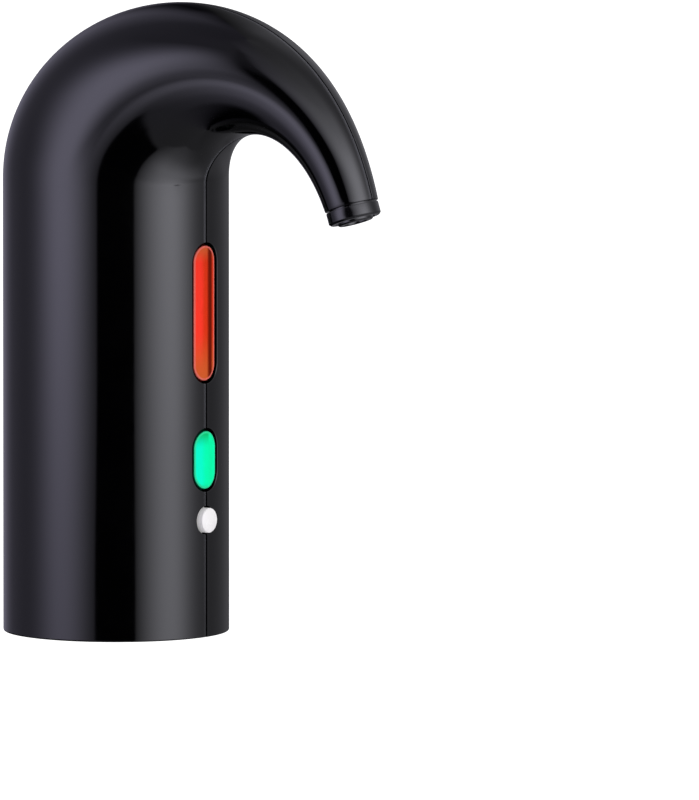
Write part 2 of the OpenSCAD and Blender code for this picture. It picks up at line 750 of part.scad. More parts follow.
module pour_button() color("#f04a20") round_ended_key(pour_w, pour_len, pour_z, pour_sunk);

module aerate_button() color("#10e890") round_ended_key(aerate_w, aerate_len, aerate_z, aerate_sunk);

module power_button() color("#f2f2f2") translate([0, 0, power_z]) rotate([0, 90, 0]) rotate_extrude() {
    intersection() {
        translate([0, rim_front - eps]) square([power_r, body_r]);
        translate([0, body_r + power_proud - dome_r]) circle(r = dome_r);
    }
    translate([0, rim_back]) square([power_r + key_lip, key_rim_t]);
}

module plunger(z) color("#303030") front_pin(plunger_r, switch_top - plunger_in, rim_back, z);

module pour_plunger() plunger(pour_z);

module aerate_plunger() plunger(aerate_z);

module power_plunger() plunger(power_z);

module key_switches() color("#3a3a3c") {
    plunger_end = switch_top - plunger_in - key_travel - plunger_room;
    for (z = key_heights) difference() {
        translate([board_front, -switch_w / 2, z - switch_w / 2]) cube([switch_t, switch_w, switch_w]);
        front_pin(plunger_r + plunger_run, plunger_end, switch_top + over, z);
    }
}

module key_lamps() color("#f4e8b0") {
    lamps = concat(
        [for (k = [-2, -1, 1, 2]) pour_z + k * led_pitch],
        [for (k = [-1, 1]) aerate_z + k * led_pitch]
    );
    for (z = lamps) translate([board_front, -led_w / 2, z - led_len / 2]) cube([led_t, led_w, led_len]);
}

module control_chip() color("#222226")
    translate([board_front, -chip_w / 2, (pour_z - 2 * led_pitch + aerate_z + led_pitch) / 2 - chip_w / 2])
        cube([chip_t, chip_w, chip_w]);

module circuit_board() color("#1d5c38") {
    difference() {
        translate([board_back, -board_w / 2, board_low]) cube([board_t, board_w, board_top - board_low]);
        for (y = [-1, 1] * board_screw_y, z = board_screw_z) translate([board_back - over, y, z])
            rotate([0, 90, 0]) cylinder(r = screw_r + fit, h = board_t + 2 * over);
    }
}

module board_screws() color("#c8c8cc") {
    for (y = [-1, 1] * board_screw_y, z = board_screw_z)
        translate([board_front, y, z]) rotate([0, 90, 0]) screw(board_screw_len);
}

// Disc of the inner frame, cut flat behind the circuit board
module frame_disc(z) {
    difference() {
        translate([0, 0, z]) cylinder(r = frame_r, h = plate_t);
        translate([board_back, -body_r, z - over]) cube([body_r, 2 * body_r, plate_t + 2 * over]);
    }
}

// Posts that join the frame's discs, and the posts under it that take the base screws
module frame_posts() {
    for (s = [-1, 1]) {
        translate([post_back, s * board_screw_y - post_w / 2, low_top - eps])
            cube([post_w, post_w, high_z - low_top + 2 * eps]);
        translate([-rear_post_x, s * rear_post_y - post_w / 2, low_top - eps])
            cube([post_w, post_w, high_z - low_top + 2 * eps]);
        translate([usb_post_x, s * usb_post_y, low_top - eps])
            cylinder(r = screw_r + usb_post_wall, h = usb_board_low - low_top + eps);
    }
    for (a = foot_post_angles) rotate(a) translate([foot_post_at, 0, base_z + cover_t])
        cylinder(r = foot_post_r, h = roof_top - base_z - cover_t + eps);
}

module inner_frame() color("#2a2a2e") {
    difference() {
        union() {
            frame_disc(roof_top);
            frame_disc(mid_z);
            frame_disc(high_z);
            frame_posts();
        }
        // Seat of the stopper's core under the lowest disc
        translate([0, 0, roof_top - over]) cylinder(r = core_flange_r + fit, h = core_flange_t + over);
        translate([0, 0, roof_top]) cylinder(r = core_flange_r - core_ledge, h = plate_t + over);
        // Holes for the dip tube's housing and, in the highest disc, for its cap
        translate([0, 0, mid_z - over]) cylinder(r = housing_r + fit, h = plate_t + 2 * over);
        translate([0, 0, high_z - over]) cylinder(r = tube_cap_r + fit, h = plate_t + 2 * over);
        // Holes for the cell, the pump and the lower air hose in the middle disc
        translate([0, cell_y, mid_z - over]) cylinder(r = cell_r + fit, h = plate_t + 2 * over);
        at_pump(mid_z - over) translate([-head_w / 2 - fit, -head_d / 2 - fit, 0])
            cube([head_w + 2 * fit, head_d + 2 * fit, plate_t + 2 * over]);
        translate([-valve_x, -valve_y, mid_z - over]) cylinder(r = hose_r + fit, h = plate_t + 2 * over);
        // Holes for the screws
        for (s = [-1, 1]) {
            translate([s * frame_screw_at, 0, roof_top - over])
                cylinder(r = screw_r + fit, h = plate_t + 2 * over);
            translate([usb_post_x, s * usb_post_y, usb_board_top - charging_screw_len - screw_end_gap])
                cylinder(r = screw_r, h = charging_screw_len);
        }
        for (y = [-1, 1] * board_screw_y, z = board_screw_z)
            translate([board_front - board_screw_len - screw_end_gap, y, z])
                rotate([0, 90, 0]) cylinder(r = screw_r, h = board_screw_len);
        for (a = foot_post_angles) rotate(a) translate([foot_post_at, 0, base_z + head_t])
            cylinder(r = screw_r, h = base_screw_len + screw_end_gap);
    }
}

module frame_screws() color("#c8c8cc") {
    for (s = [-1, 1]) translate([s * frame_screw_at, 0, low_top]) screw(frame_screw_len);
}

module base_screws() color("#c8c8cc") {
    for (a = foot_post_angles) rotate(a) translate([foot_post_at, 0, base_z + head_t])
        rotate([180, 0, 0]) screw(base_screw_len);
}

module neck_socket() color("#19191b") {
    difference() {
        union() {
            translate([0, 0, base_z]) pipe(socket_out_r, socket_r, roof_z - base_z + eps);
            translate([0, 0, roof_z]) pipe(socket_out_r, core_r + fit, roof_t);
        }
        for (s = [-1, 1]) translate([s * frame_screw_at, 0, low_top - frame_screw_len - screw_end_gap])
            cylinder(r = screw_r, h = frame_screw_len);
    }
}

module bottle_stopper() color("#2c2c30") {
    pitch = stopper_len / stopper_ribs;
    difference() {
        rotate_extrude() polygon([
            [core_r + press_gap, -stopper_len], [stopper_r - stopper_chamfer, -stopper_len],
            [stopper_r, stopper_chamfer - stopper_len], [stopper_r, 0], [socket_r - fit, 0],
            [socket_r - fit, lip_seal_t], [core_r + press_gap, lip_seal_t]
        ]);
        for (i = [1 : stopper_ribs - 1]) translate([0, 0, -i * pitch - rib_groove_w / 2])
            pipe(stopper_r + over, stopper_r - rib_groove_d, rib_groove_w);
    }
}

module stopper_core() color("#d8d8d4") {
    inside = housing_r + press_gap;
    bead_r = core_r + bead_out;
    turn_z = roof_top + core_flange_t / 2;
    difference() {
        union() {
            rotate_extrude() polygon([
                [inside, core_bottom], [core_r, core_bottom], [bead_r, core_bottom + bead_t / 2],
                [bead_r, -stopper_len], [core_r, -stopper_len], [core_r, roof_top],
                [core_flange_r, roof_top], [core_flange_r, core_barb_z], [inside, core_barb_z]
            ]);
            translate([-air_barb_x, 0, core_barb_z - eps]) cylinder(r = air_barb_r, h = air_barb_len + eps);
        }
        translate([-air_barb_x, 0, turn_z]) cylinder(r = air_bore_r, h = core_flange_t + air_barb_len);
        translate([-air_barb_x, 0, turn_z]) rotate([0, 90, 0])
            cylinder(r = air_bore_r, h = air_barb_x - air_bore_x);
        translate([-air_bore_x, 0, core_bottom - over])
            cylinder(r = air_bore_r, h = turn_z - core_bottom + over);
    }
}

// One section of the dip tube: a bore with a narrow neck at its foot and a guiding collar at its top
module tube_section(level) {
    low = tube_low(level);
    top = low + tube_len;
    neck = tube_out(level - 1) + tube_run;
    rotate_extrude() polygon([
        [neck, low], [tube_out(level), low], [tube_out(level), top - guide_len],
        [tube_in(level + 1) - tube_run, top - guide_len], [tube_in(level + 1) - tube_run, top],
        [tube_in(level), top], [tube_in(level), low + guide_len], [neck, low + guide_len]
    ]);
}

module tube_housing() color("#c9ccd0") {
    neck = tube_out(2) + tube_run;
    rotate_extrude() polygon([
        [neck, core_bottom], [housing_r, core_bottom], [housing_r, housing_top], [tube_in(3), housing_top],
        [tube_in(3), core_bottom + guide_len], [neck, core_bottom + guide_len]
    ]);
}

module tube_cap() color("#d8d8d4") {
    rotate_extrude() polygon([
        [tube_cap_in, tube_cap_low], [tube_cap_r, tube_cap_low], [tube_cap_r, tube_cap_top],
        [wine_barb_r, tube_cap_top], [wine_barb_r, tube_cap_top + barb_len],
        [wine_flow_r, tube_cap_top + barb_len], [wine_flow_r, housing_top], [tube_cap_in, housing_top]
    ]);
}

module dip_tube_upper() color("#d4d6da") tube_section(2);

module dip_tube_middle() color("#d4d6da") tube_section(1);

// The lowest section has a plain bore right through, and its foot runs into the strainer
module dip_tube_lower() color("#d4d6da") {
    low = tube_low(0) - strainer_grip;
    top = tube_low(0) + tube_len;
    rotate_extrude() polygon([
        [tube_in(0), low], [tube_out(0), low], [tube_out(0), top - guide_len],
        [tube_in(1) - tube_run, top - guide_len], [tube_in(1) - tube_run, top], [tube_in(0), top]
    ]);
}

module tube_strainer() color("#e4e4e0") {
    top = tube_low(0);
    seat = top - strainer_grip;
    low = top - strainer_len;
    floor_top = low + strainer_floor;
    inside = tube_out(0) + press_gap;
    difference() {
        rotate_extrude() polygon([
            [0, low], [strainer_r - strainer_chamfer, low], [strainer_r, low + strainer_chamfer],
            [strainer_r, top], [inside, top], [inside, seat], [tube_in(0), seat],
            [tube_in(0), floor_top], [0, floor_top]
        ]);
        for (i = [0 : strainer_slots - 1]) rotate(360 * i / strainer_slots)
            translate([tube_in(0) / 2, -strainer_slot_w / 2, low - over])
                cube([strainer_r, strainer_slot_w, (seat + floor_top) / 2 - low + over]);
    }
}

module wine_tube() color("#e8e0dc") {
    start = [0, tube_cap_top];
    lift = start + [0, barb_len];
    land = [tip_x, tip_z] - (nozzle_depth + barb_len) * tip_dir;
    rest = land + barb_len * tip_dir;
    bend = [lift, lift + [0, hook_rise], land - (hook_lead - nozzle_depth - barb_len) * tip_dir, land];
    flat = concat([start], [for (i = [0 : wine_rings]) bezier(bend, i / wine_rings)], [rest]);
    hose([for (p = flat) [p[0], 0, p[1]]], [0, 1, 0], wine_tube_r, wine_bore_r, wine_sides);
}

// The upper air hose runs in a half circle from the pump to the check valve
module air_hose() color("#b8b8bc") {
    start = [0, pump_y, pump_top];
    end = [-valve_x, -valve_y, valve_top];
    rise = [0, 0, air_barb_len + hose_straight];
    middle = (start + end) / 2 + rise;
    side = (start - end) / 2;
    bend = [for (i = [0 : hose_rings]) let (t = 180 * i / hose_rings)
        middle + cos(t) * side + sin(t) * [0, 0, norm(side)]];
    hose(concat([start], bend, [end]), cross([0, 0, 1], side), hose_r, hose_bore_r, hose_sides);
}

module check_valve() color("#e6e6e2") translate([-valve_x, -valve_y, valve_z]) {
    inside = valve_r - valve_wall;
    slope_end = valve_end_t + valve_wall;
    rotate_extrude() polygon([
        [air_bore_r, -air_barb_len], [air_barb_r, -air_barb_len], [air_barb_r, 0], [valve_r, 0],
        [valve_r, valve_len], [air_barb_r, valve_len], [air_barb_r, valve_len + air_barb_len],
        [air_bore_r, valve_len + air_barb_len], [air_bore_r, valve_len - valve_end_t],
        [inside, valve_len - slope_end], [inside, slope_end], [air_bore_r, valve_end_t]
    ]);
}

// The lower air hose runs in an S from the check valve to the stopper's core
module stopper_hose() color("#b8b8bc") {
    low = [-air_barb_x, 0, drop_low];
    high = [-valve_x, -valve_y, drop_high];
    side = [air_barb_x - valve_x, -valve_y, 0] / drop_run;
    arc = [for (i = [0 : hose_rings / 2]) let (t = 2 * hose_sweep * i / hose_rings)
        drop_bend_r * ((1 - cos(t)) * side + sin(t) * [0, 0, 1])];
    lower = [for (p = arc) low + p];
    upper = [for (i = [len(arc) - 2 : -1 : 0]) high - arc[i]];
    path = concat([[low[0], low[1], core_barb_z]], lower, upper, [[high[0], high[1], valve_z]]);
    hose(path, cross([0, 0, 1], side), hose_r, hose_bore_r, hose_sides);
}

// Outline of the motor, a circle with two flats
module motor_outline(inset) {
    intersection() {
        circle(r = motor_r - inset);
        square([2 * motor_r, 2 * (motor_flat - inset)], center = true);
    }
}

module motor_can() color("#c2c4c8") at_pump(low_top) {
    difference() {
        union() {
            linear_extrude(motor_len) motor_outline(0);
            translate([0, 0, motor_len - eps]) cylinder(r = bush_r, h = bush_h + eps);
        }
        translate([0, 0, -over]) linear_extrude(motor_len - motor_wall + over) motor_outline(motor_wall);
        cylinder(r = shaft_r + shaft_run, h = motor_len + bush_h + over);
    }
}

module motor_magnets() color("#505056") at_pump(low_top + magnet_rise) {
    inside = armature_r + air_gap;
    linear_extrude(magnet_len) difference() {
        motor_outline(motor_wall + press_gap);
        circle(r = inside);
        square([inside, 2 * motor_r], center = true);
    }
}

module motor_end_cap() color("#e8e8e4") at_pump(low_top) {
    difference() {
        linear_extrude(end_cap_t) motor_outline(motor_wall + press_gap);
        translate([0, 0, -over]) cylinder(r = shaft_r + shaft_run, h = end_cap_t + 2 * over);
    }
}

module motor_rotor() color("#8a5a34") at_pump(low_top) {
    commutator = end_cap_t + rotor_gap;
    windings = commutator + commutator_len;
    armature = windings + rotor_gap;
    armature_end = armature + armature_len;
    shaft_end = crank_top - low_top;
    rotate_extrude() polygon([
        [0, rotor_gap], [shaft_r, rotor_gap], [shaft_r, commutator], [commutator_r, commutator],
        [commutator_r, windings], [armature_r, armature], [armature_r, armature_end],
        [shaft_r, armature_end + rotor_gap], [shaft_r, shaft_end], [0, shaft_end]
    ]);
}

module pump_crank() color("#d8d8d4") at_pump(crank_z) {
    difference() {
        union() {
            cylinder(r = crank_r, h = crank_t);
            translate([crank_throw, 0, crank_t - eps])
                cylinder(r = crank_pin_r, h = rocker_top - crank_top - crank_gap + eps);
        }
        translate([0, 0, -over]) cylinder(r = shaft_r + press_gap / 2, h = crank_t + over);
    }
}

// Block of the pump's head, with its corner holes
module head_block(t) {
    difference() {
        translate([-head_w / 2, -head_d / 2, 0]) cube([head_w, head_d, t]);
        for (x = [-1, 1] * pump_screw_at[0], y = [-1, 1] * pump_screw_at[1])
            translate([x, y, -over]) cylinder(r = screw_r + fit, h = t + 2 * over);
    }
}

module pump_base() color("#e2e2de") at_pump(motor_top) {
    difference() {
        head_block(pump_base_h);
        translate([0, 0, -over]) cylinder(r = bush_r + fit, h = bush_h + 2 * over);
        translate([0, 0, bush_h]) cylinder(r = cavity_r, h = pump_base_h);
    }
}

module pump_rocker() color("#d8d8d4") at_pump(rocker_z) {
    difference() {
        cylinder(r = cavity_r - rocker_play, h = rocker_t);
        translate([0, 0, -over]) cylinder(r = pin_hole_r, h = rocker_t + 2 * over);
        for (x = [-1, 1] * cup_x) translate([x, 0, -over])
            cylinder(r = nub_r + fit / 2, h = rocker_t + 2 * over);
    }
}

module pump_diaphragm() color("#3c3c40") at_pump(pump_base_top) {
    head_block(diaphragm_t);
    for (x = [-1, 1] * cup_x) translate([x, 0, 0]) {
        translate([0, 0, rocker_top - pump_base_top])
            cylinder(r = cup_r, h = pump_base_top - rocker_top + eps);
        translate([0, 0, rocker_z - pump_base_top]) cylinder(r = nub_r, h = rocker_t + eps);
    }
}

module valve_plate() color("#e2e2de") at_pump(valve_plate_z) {
    difference() {
        head_block(valve_plate_t);
        for (x = [-1, 1] * cup_x, y = [-1, 1] * cup_r / 2) translate([x, y, -over])
            cylinder(r = port_r, h = valve_plate_t + 2 * over);
    }
}

module pump_cover() color("#e2e2de") at_pump(pump_cover_z) {
    difference() {
        union() {
            head_block(pump_cover_t);
            translate([0, 0, pump_cover_t - eps]) cylinder(r = air_barb_r, h = air_barb_len + eps);
        }
        translate([0, 0, -over]) cylinder(r = air_bore_r, h = pump_cover_t + air_barb_len + 2 * over);
        translate([-cup_x - cup_r / 2, -cup_r, -over])
            cube([2 * cup_x + cup_r, 2 * cup_r, channel_d + over]);
    }
}

module pump_screws() color("#c8c8cc") {
    for (x = [-1, 1] * pump_screw_at[0], y = [-1, 1] * pump_screw_at[1])
        at_pump(pump_top) translate([x, y, 0]) screw(pump_screw_len);
}

module battery_cell() color("#3c6fb0") translate([0, cell_y, cell_z]) {
    shoulder = cell_len - cell_contact_t;
    rotate_extrude() polygon([
        [0, 0], [cell_r, 0], [cell_r, shoulder - cell_edge], [cell_r - cell_edge, shoulder],
        [cell_contact_r, shoulder], [cell_contact_r, cell_len], [0, cell_len]
    ]);
}

module battery_tabs() color("#d0d0d0") {
    for (z = [low_top, high_z - tab_t]) translate([-tab_w / 2, cell_y - tab_w / 2, z])
        cube([tab_reach + tab_w / 2, tab_w, tab_t]);
}

module charging_socket() color("#c4c6ca") {
    translate([usb_face, 0, usb_z]) rotate([90, 0, 90]) {
        difference() {
            linear_extrude(usb_len) slot_outline_wide(usb_w, usb_t);
            translate([0, 0, -over]) linear_extrude(usb_len - usb_back_t + over)
                slot_outline_wide(usb_w - 2 * usb_wall, usb_t - 2 * usb_wall);
        }
        translate([-usb_tongue_w / 2, -usb_tongue_t / 2, usb_len - usb_back_t - usb_tongue_len])
            cube([usb_tongue_w, usb_tongue_t, usb_tongue_len + eps]);
    }
}

module charging_board() color("#1d5c38") {
    difference() {
        translate([usb_board_x, -usb_board_w / 2, usb_board_low])
            cube([usb_board_len, usb_board_w, board_t]);
        for (s = [-1, 1]) translate([usb_post_x, s * usb_post_y, usb_board_low - over])
            cylinder(r = screw_r + fit, h = board_t + 2 * over);
    }
}

module charging_screws() color("#c8c8cc") {
    for (s = [-1, 1]) translate([usb_post_x, s * usb_post_y, usb_board_top]) screw(charging_screw_len);
}

// Bundle of insulated wires
module wires(routes) {
    ref = [0, 0, 1];
    for (path = routes)
        skin([for (i = [0 : len(path) - 1]) tube_ring(path[i], heading(path, i), ref, wire_r, wire_sides)]);
}

module battery_wires() color("#c03028") wires(battery_wires_route);

module motor_wires() color("#2c2c80") wires(motor_wires_route);

module charging_wires() color("#d8b020") wires(charging_wires_route);

left_shell();
right_shell();
base_cover();
spout_collar();
spout_nozzle();
pour_button();
aerate_button();
power_button();
pour_plunger();
aerate_plunger();
power_plunger();
key_switches();
key_lamps();
control_chip();
circuit_board();
board_screws();
inner_frame();
frame_screws();
base_screws();
neck_socket();
bottle_stopper();
stopper_core();
tube_housing();
tube_cap();
dip_tube_upper();
dip_tube_middle();
dip_tube_lower();
tube_strainer();
wine_tube();
air_hose();
check_valve();
stopper_hose();
motor_can();
motor_magnets();
motor_end_cap();
motor_rotor();
pump_crank();
pump_base();
pump_rocker();
pump_diaphragm();
valve_plate();
pump_cover();
pump_screws();
battery_cell();
battery_tabs();
charging_socket();
charging_board();
charging_screws();
battery_wires();
motor_wires();
charging_wires();
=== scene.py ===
# Looks of the electric wine aerator: smooth pieces over the frame's nodes, their finishes and the studio
import math

import bmesh
import bpy
import numpy as np
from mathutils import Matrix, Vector


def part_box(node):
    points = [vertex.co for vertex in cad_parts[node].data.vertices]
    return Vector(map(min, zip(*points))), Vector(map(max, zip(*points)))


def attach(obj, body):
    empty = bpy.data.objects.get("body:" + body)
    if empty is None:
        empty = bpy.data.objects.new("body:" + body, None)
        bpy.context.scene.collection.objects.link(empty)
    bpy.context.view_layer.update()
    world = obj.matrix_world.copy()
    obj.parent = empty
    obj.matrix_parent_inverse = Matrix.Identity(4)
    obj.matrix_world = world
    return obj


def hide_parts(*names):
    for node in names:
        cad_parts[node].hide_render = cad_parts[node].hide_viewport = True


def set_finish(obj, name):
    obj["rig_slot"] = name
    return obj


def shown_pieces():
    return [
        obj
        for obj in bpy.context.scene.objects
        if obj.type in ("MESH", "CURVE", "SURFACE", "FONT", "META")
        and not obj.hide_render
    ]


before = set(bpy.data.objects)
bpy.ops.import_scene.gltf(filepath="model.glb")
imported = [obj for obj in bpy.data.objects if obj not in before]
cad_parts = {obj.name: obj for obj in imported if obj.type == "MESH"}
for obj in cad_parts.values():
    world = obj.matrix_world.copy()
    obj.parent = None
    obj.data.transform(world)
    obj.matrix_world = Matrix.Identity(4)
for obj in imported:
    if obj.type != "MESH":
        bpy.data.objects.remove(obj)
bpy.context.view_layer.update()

# Sizes are in millimetres, and the mesh helpers turn them into the frame's metres
MM = 0.001
SAME_POINT = 0.001
ON_AXIS = 1e-6
SOFT_ANGLE, CUT_ANGLE = 40, 35
QUARTER_TURN = np.radians([0, 22.5, 45, 67.5, 90])
SQUARE = ((-1, -1), (1, -1), (1, 1), (-1, 1))


def corners(node):
    """Lowest and highest corner of a CAD node, in millimetres."""
    low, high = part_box(node)
    return np.array(low) / MM, np.array(high) / MM


# Body and hook
BODY = "aerator_body"
shell_low, shell_high = corners("left_shell")
BODY_R = shell_high[1]
BASE_Z = shell_low[2]
WALL = 2.2
INNER_R = BODY_R - WALL
HOOK_Z = BASE_Z + 116.9
HOOK_LEAN = math.radians(1.75)
HOOK_RISE = 27.2
HOOK_LEAD = 53.7
SPOUT_TILT = math.radians(18.5)
TIP = np.array([75.35, BASE_Z + 113.8])
TIP_DIR = np.array([math.sin(SPOUT_TILT), -math.cos(SPOUT_TILT)])
SPINE = np.array([[0, HOOK_Z], [0, HOOK_Z + HOOK_RISE], TIP - HOOK_LEAD * TIP_DIR, TIP])
HOOK_RADII = np.array([BODY_R, BODY_R, 15.5, 9.4, 7.0])
SEAM_GAP = 0.24
SEAM_DEPTH = 0.9
SEAM_EASE = 0.08
BASE_ROLL = 0.45
TIP_ROLL = 0.15

# Keys, from the frame's boxes
LENS_GAP = 0.7
KEY_GAP = 0.45
KEY_LIP = 1.2
KEY_EDGE = 0.45
OPENING_ROLL = 0.25
RIM_T = 1.2
DOME_R = 9.0


def key_size(node):
    """Width, length, middle and front of a long key, without its rim."""
    low, high = corners(node)
    return {"w": high[1] * 2 - 2 * KEY_LIP, "len": high[2] - low[2] - 2 * KEY_LIP,
            "z": (high[2] + low[2]) / 2, "face": high[0]}


POUR = key_size("pour_button")
AERATE = key_size("aerate_button")
RIM_BACK = corners("pour_button")[0][0]
RIM_FRONT = RIM_BACK + RIM_T
power_low, power_high = corners("power_button")
POWER_R = power_high[1] - KEY_LIP
POWER_Z = (power_high[2] + power_low[2]) / 2

# Charging socket, from the frame's box
usb_low, usb_high = corners("charging_socket")
USB_W = usb_high[1] * 2
USB_T = usb_high[2] - usb_low[2]
USB_Z = (usb_high[2] + usb_low[2]) / 2
USB_FIT = 0.15


def bezier(points, u):
    while len(points) > 1:
        points = (1 - u) * points[:-1] + u * points[1:]
    return points[0]


def slope(points, u):
    return (len(points) - 1) * bezier(np.diff(points, axis=0), u)


def hook_ring(u, depth):
    """Ring of the hook, at a depth below its skin: centre and outward normal in (x, z), and radius."""
    run = slope(SPINE, u)
    speed = np.linalg.norm(run)
    along = run / speed
    ball = bezier(HOOK_RADII - depth, u)
    grow = slope(HOOK_RADII - depth, u) / speed if u < 1 else 0.0
    middle = bezier(SPINE, u) - ball * grow * along
    return middle, np.array([-along[1], along[0]]), ball * math.sqrt(1 - grow * grow)


def add_object(name, data):
    """Object with the given mesh or camera, linked to the scene."""
    thing = bpy.data.objects.new(name, data)
    bpy.context.scene.collection.objects.link(thing)
    return thing


def merge_points(shape):
    """Makes one point of those that coincide."""
    bmesh.ops.remove_doubles(shape, verts=shape.verts, dist=SAME_POINT * MM)
    bmesh.ops.dissolve_degenerate(shape, dist=SAME_POINT * MM, edges=shape.edges)


def new_mesh(name, points, faces):
    """Mesh object with outward normals, from points in millimetres."""
    mesh = bpy.data.meshes.new(name)
    mesh.from_pydata([tuple(p) for p in np.array(points, float) * MM], [], faces)
    shape = bmesh.new()
    shape.from_mesh(mesh)
    merge_points(shape)
    bmesh.ops.recalc_face_normals(shape, faces=shape.faces)
    shape.to_mesh(mesh)
    shape.free()
    return add_object(name, mesh)


def soften(piece, angle=CUT_ANGLE):
    """Smooth shading, with edges sharper than the angle kept."""
    piece.data.shade_smooth()
    piece.data.set_sharp_from_angle(angle=math.radians(angle))


def settle(piece, body, slot, *nodes):
    """Hands a finished piece to the frame."""
    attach(piece, body)
    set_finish(piece, slot)
    if nodes:
        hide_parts(*nodes)
    return piece


def ring_faces(rows, count):
    """Faces between neighbouring rings with equally many points."""
    faces = []
    for row in range(0, (rows - 1) * count, count):
        for i in range(count):
            after = (i + 1) % count
            faces.append([row + i, row + after, row + count + after, row + count + i])
    return faces


def loft(name, rings):
    """Closed solid through rings with equally many points, with a flat face at each end."""
    count = len(rings[0])
    points = [p for ring in rings for p in ring]
    last = (len(rings) - 1) * count
    caps = [list(range(count)), list(range(last, last + count))]
    return new_mesh(name, points, ring_faces(len(rings), count) + caps)


def soft_outline(path, steps=4):
    """Outline in (radius, height) whose corners are rounded by the third number of each point."""
    done = []
    for i, (r, z, fillet) in enumerate(path):
        corner = np.array([r, z], float)
        back = np.array(path[i - 1][:2], float) - corner
        ahead = np.array(path[(i + 1) % len(path)][:2], float) - corner
        if fillet <= 0:
            done.append(corner)
            continue
        back /= np.linalg.norm(back)
        ahead /= np.linalg.norm(ahead)
        half = math.acos(max(-1, min(1, back @ ahead))) / 2
        reach = fillet / math.tan(half)
        middle = corner + (back + ahead) / np.linalg.norm(back + ahead) * fillet / math.sin(half)
        start, end = corner + back * reach - middle, corner + ahead * reach - middle
        sweep = math.pi - 2 * half
        for k in range(steps + 1):
            t = k / steps
            turned = math.sin((1 - t) * sweep) * start + math.sin(t * sweep) * end
            done.append(middle + turned / math.sin(sweep))
    return done


def lathe(name, path, place=None, sides=128):
    """Solid turned round an axis from an outline in (radius, height, fillet)."""
    outline = soft_outline(path)
    points, rows = [], []
    for r, z in outline:
        if r < ON_AXIS:
            rows.append([len(points)] * sides)
            points.append((0, 0, z))
        else:
            rows.append(list(range(len(points), len(points) + sides)))
            turns = [2 * math.pi * k / sides for k in range(sides)]
            points += [(r * math.cos(a), r * math.sin(a), z) for a in turns]
    faces = []
    for a, b in zip(rows, rows[1:] + rows[:1]):
        for k in range(sides):
            m = (k + 1) % sides
            face = list(dict.fromkeys([a[k], a[m], b[m], b[k]]))
            if len(face) > 2:
                faces.append(face)
    if place is not None:
        points = [(place @ np.array([*p, 1.0]))[:3] for p in points]
    piece = new_mesh(name, points, faces)
    soften(piece, SOFT_ANGLE)
    return piece


def axis_place(origin, along):
    """Matrix that turns +Z onto a direction in the parting plane and moves it to a point."""
    z = np.array(along, float)
    y = np.array([0.0, 1.0, 0.0])
    place = np.eye(4)
    place[:3, 0], place[:3, 1], place[:3, 2], place[:3, 3] = np.cross(y, z), y, z, origin
    return place


def stadium(width, length, grow=0.0, arc=18, side=10):
    """Outline with round ends along the second coordinate, grown by an offset."""
    r = width / 2 + grow
    h = max(length - width, 0.0) / 2
    points = []
    for end, start in ((1, 0.0), (-1, math.pi)):
        for k in range(arc + 1):
            t = start + math.pi * k / arc
            points.append((r * math.cos(t), end * h + r * math.sin(t)))
        points += [(-end * r, end * h * (1 - 2 * k / side)) for k in range(1, side) if h > 0]
    return points


def cut(piece, cutter):
    """Takes the cutter away from the piece, and removes the cutter."""
    bpy.context.view_layer.update()
    change = piece.modifiers.new("opening", "BOOLEAN")
    change.operation, change.solver, change.object = "DIFFERENCE", "EXACT", cutter
    graph = bpy.context.evaluated_depsgraph_get()
    result = bpy.data.meshes.new_from_object(piece.evaluated_get(graph))
    shape = bmesh.new()
    shape.from_mesh(result)
    merge_points(shape)
    shape.to_mesh(result)
    shape.free()
    old = piece.data
    piece.modifiers.clear()
    piece.data = result
    result.name = piece.name
    bpy.data.meshes.remove(old)
    bpy.data.objects.remove(cutter)


def join(name, parts):
    """One mesh object from several, as one piece."""
    shape = bmesh.new()
    for part in parts:
        shape.from_mesh(part.data)
        bpy.data.objects.remove(part)
    mesh = bpy.data.meshes.new(name)
    shape.to_mesh(mesh)
    shape.free()
    return add_object(name, mesh)


# Half shells
SKIN_STEPS = 72
SEAM_POINTS = 3
BODY_ROWS, HOOK_ROWS = 30, 130


def skin_arc(radius, start, end):
    """Points of a round skin between two angles."""
    return [(radius * math.cos(a), radius * math.sin(a)) for a in np.linspace(start, end, SKIN_STEPS + 1)]


def half_section(u, slide, trim, side):
    """Closed loop of a half shell: seam wall with an eased edge, outer skin, seam wall, then the lining."""
    centre, normal, radius = hook_ring(u, 0)
    lining_centre, _, lining_r = hook_ring(u, WALL)
    radius -= trim
    start = math.asin((SEAM_GAP + SEAM_EASE) / radius)
    seam = [(radius - SEAM_DEPTH, 0), (radius - SEAM_DEPTH, SEAM_GAP), (radius - SEAM_EASE, SEAM_GAP)]
    outer = seam + skin_arc(radius, start, math.pi - start) + [(-p, y) for p, y in reversed(seam)]
    loop = [(*(centre + p * normal), y) for p, y in outer]
    loop += [(*(lining_centre + p * normal), max(y, 0.0)) for p, y in skin_arc(lining_r, math.pi, 0)]
    return [(x + slide[0], side * y, z + slide[1]) for x, z, y in loop]


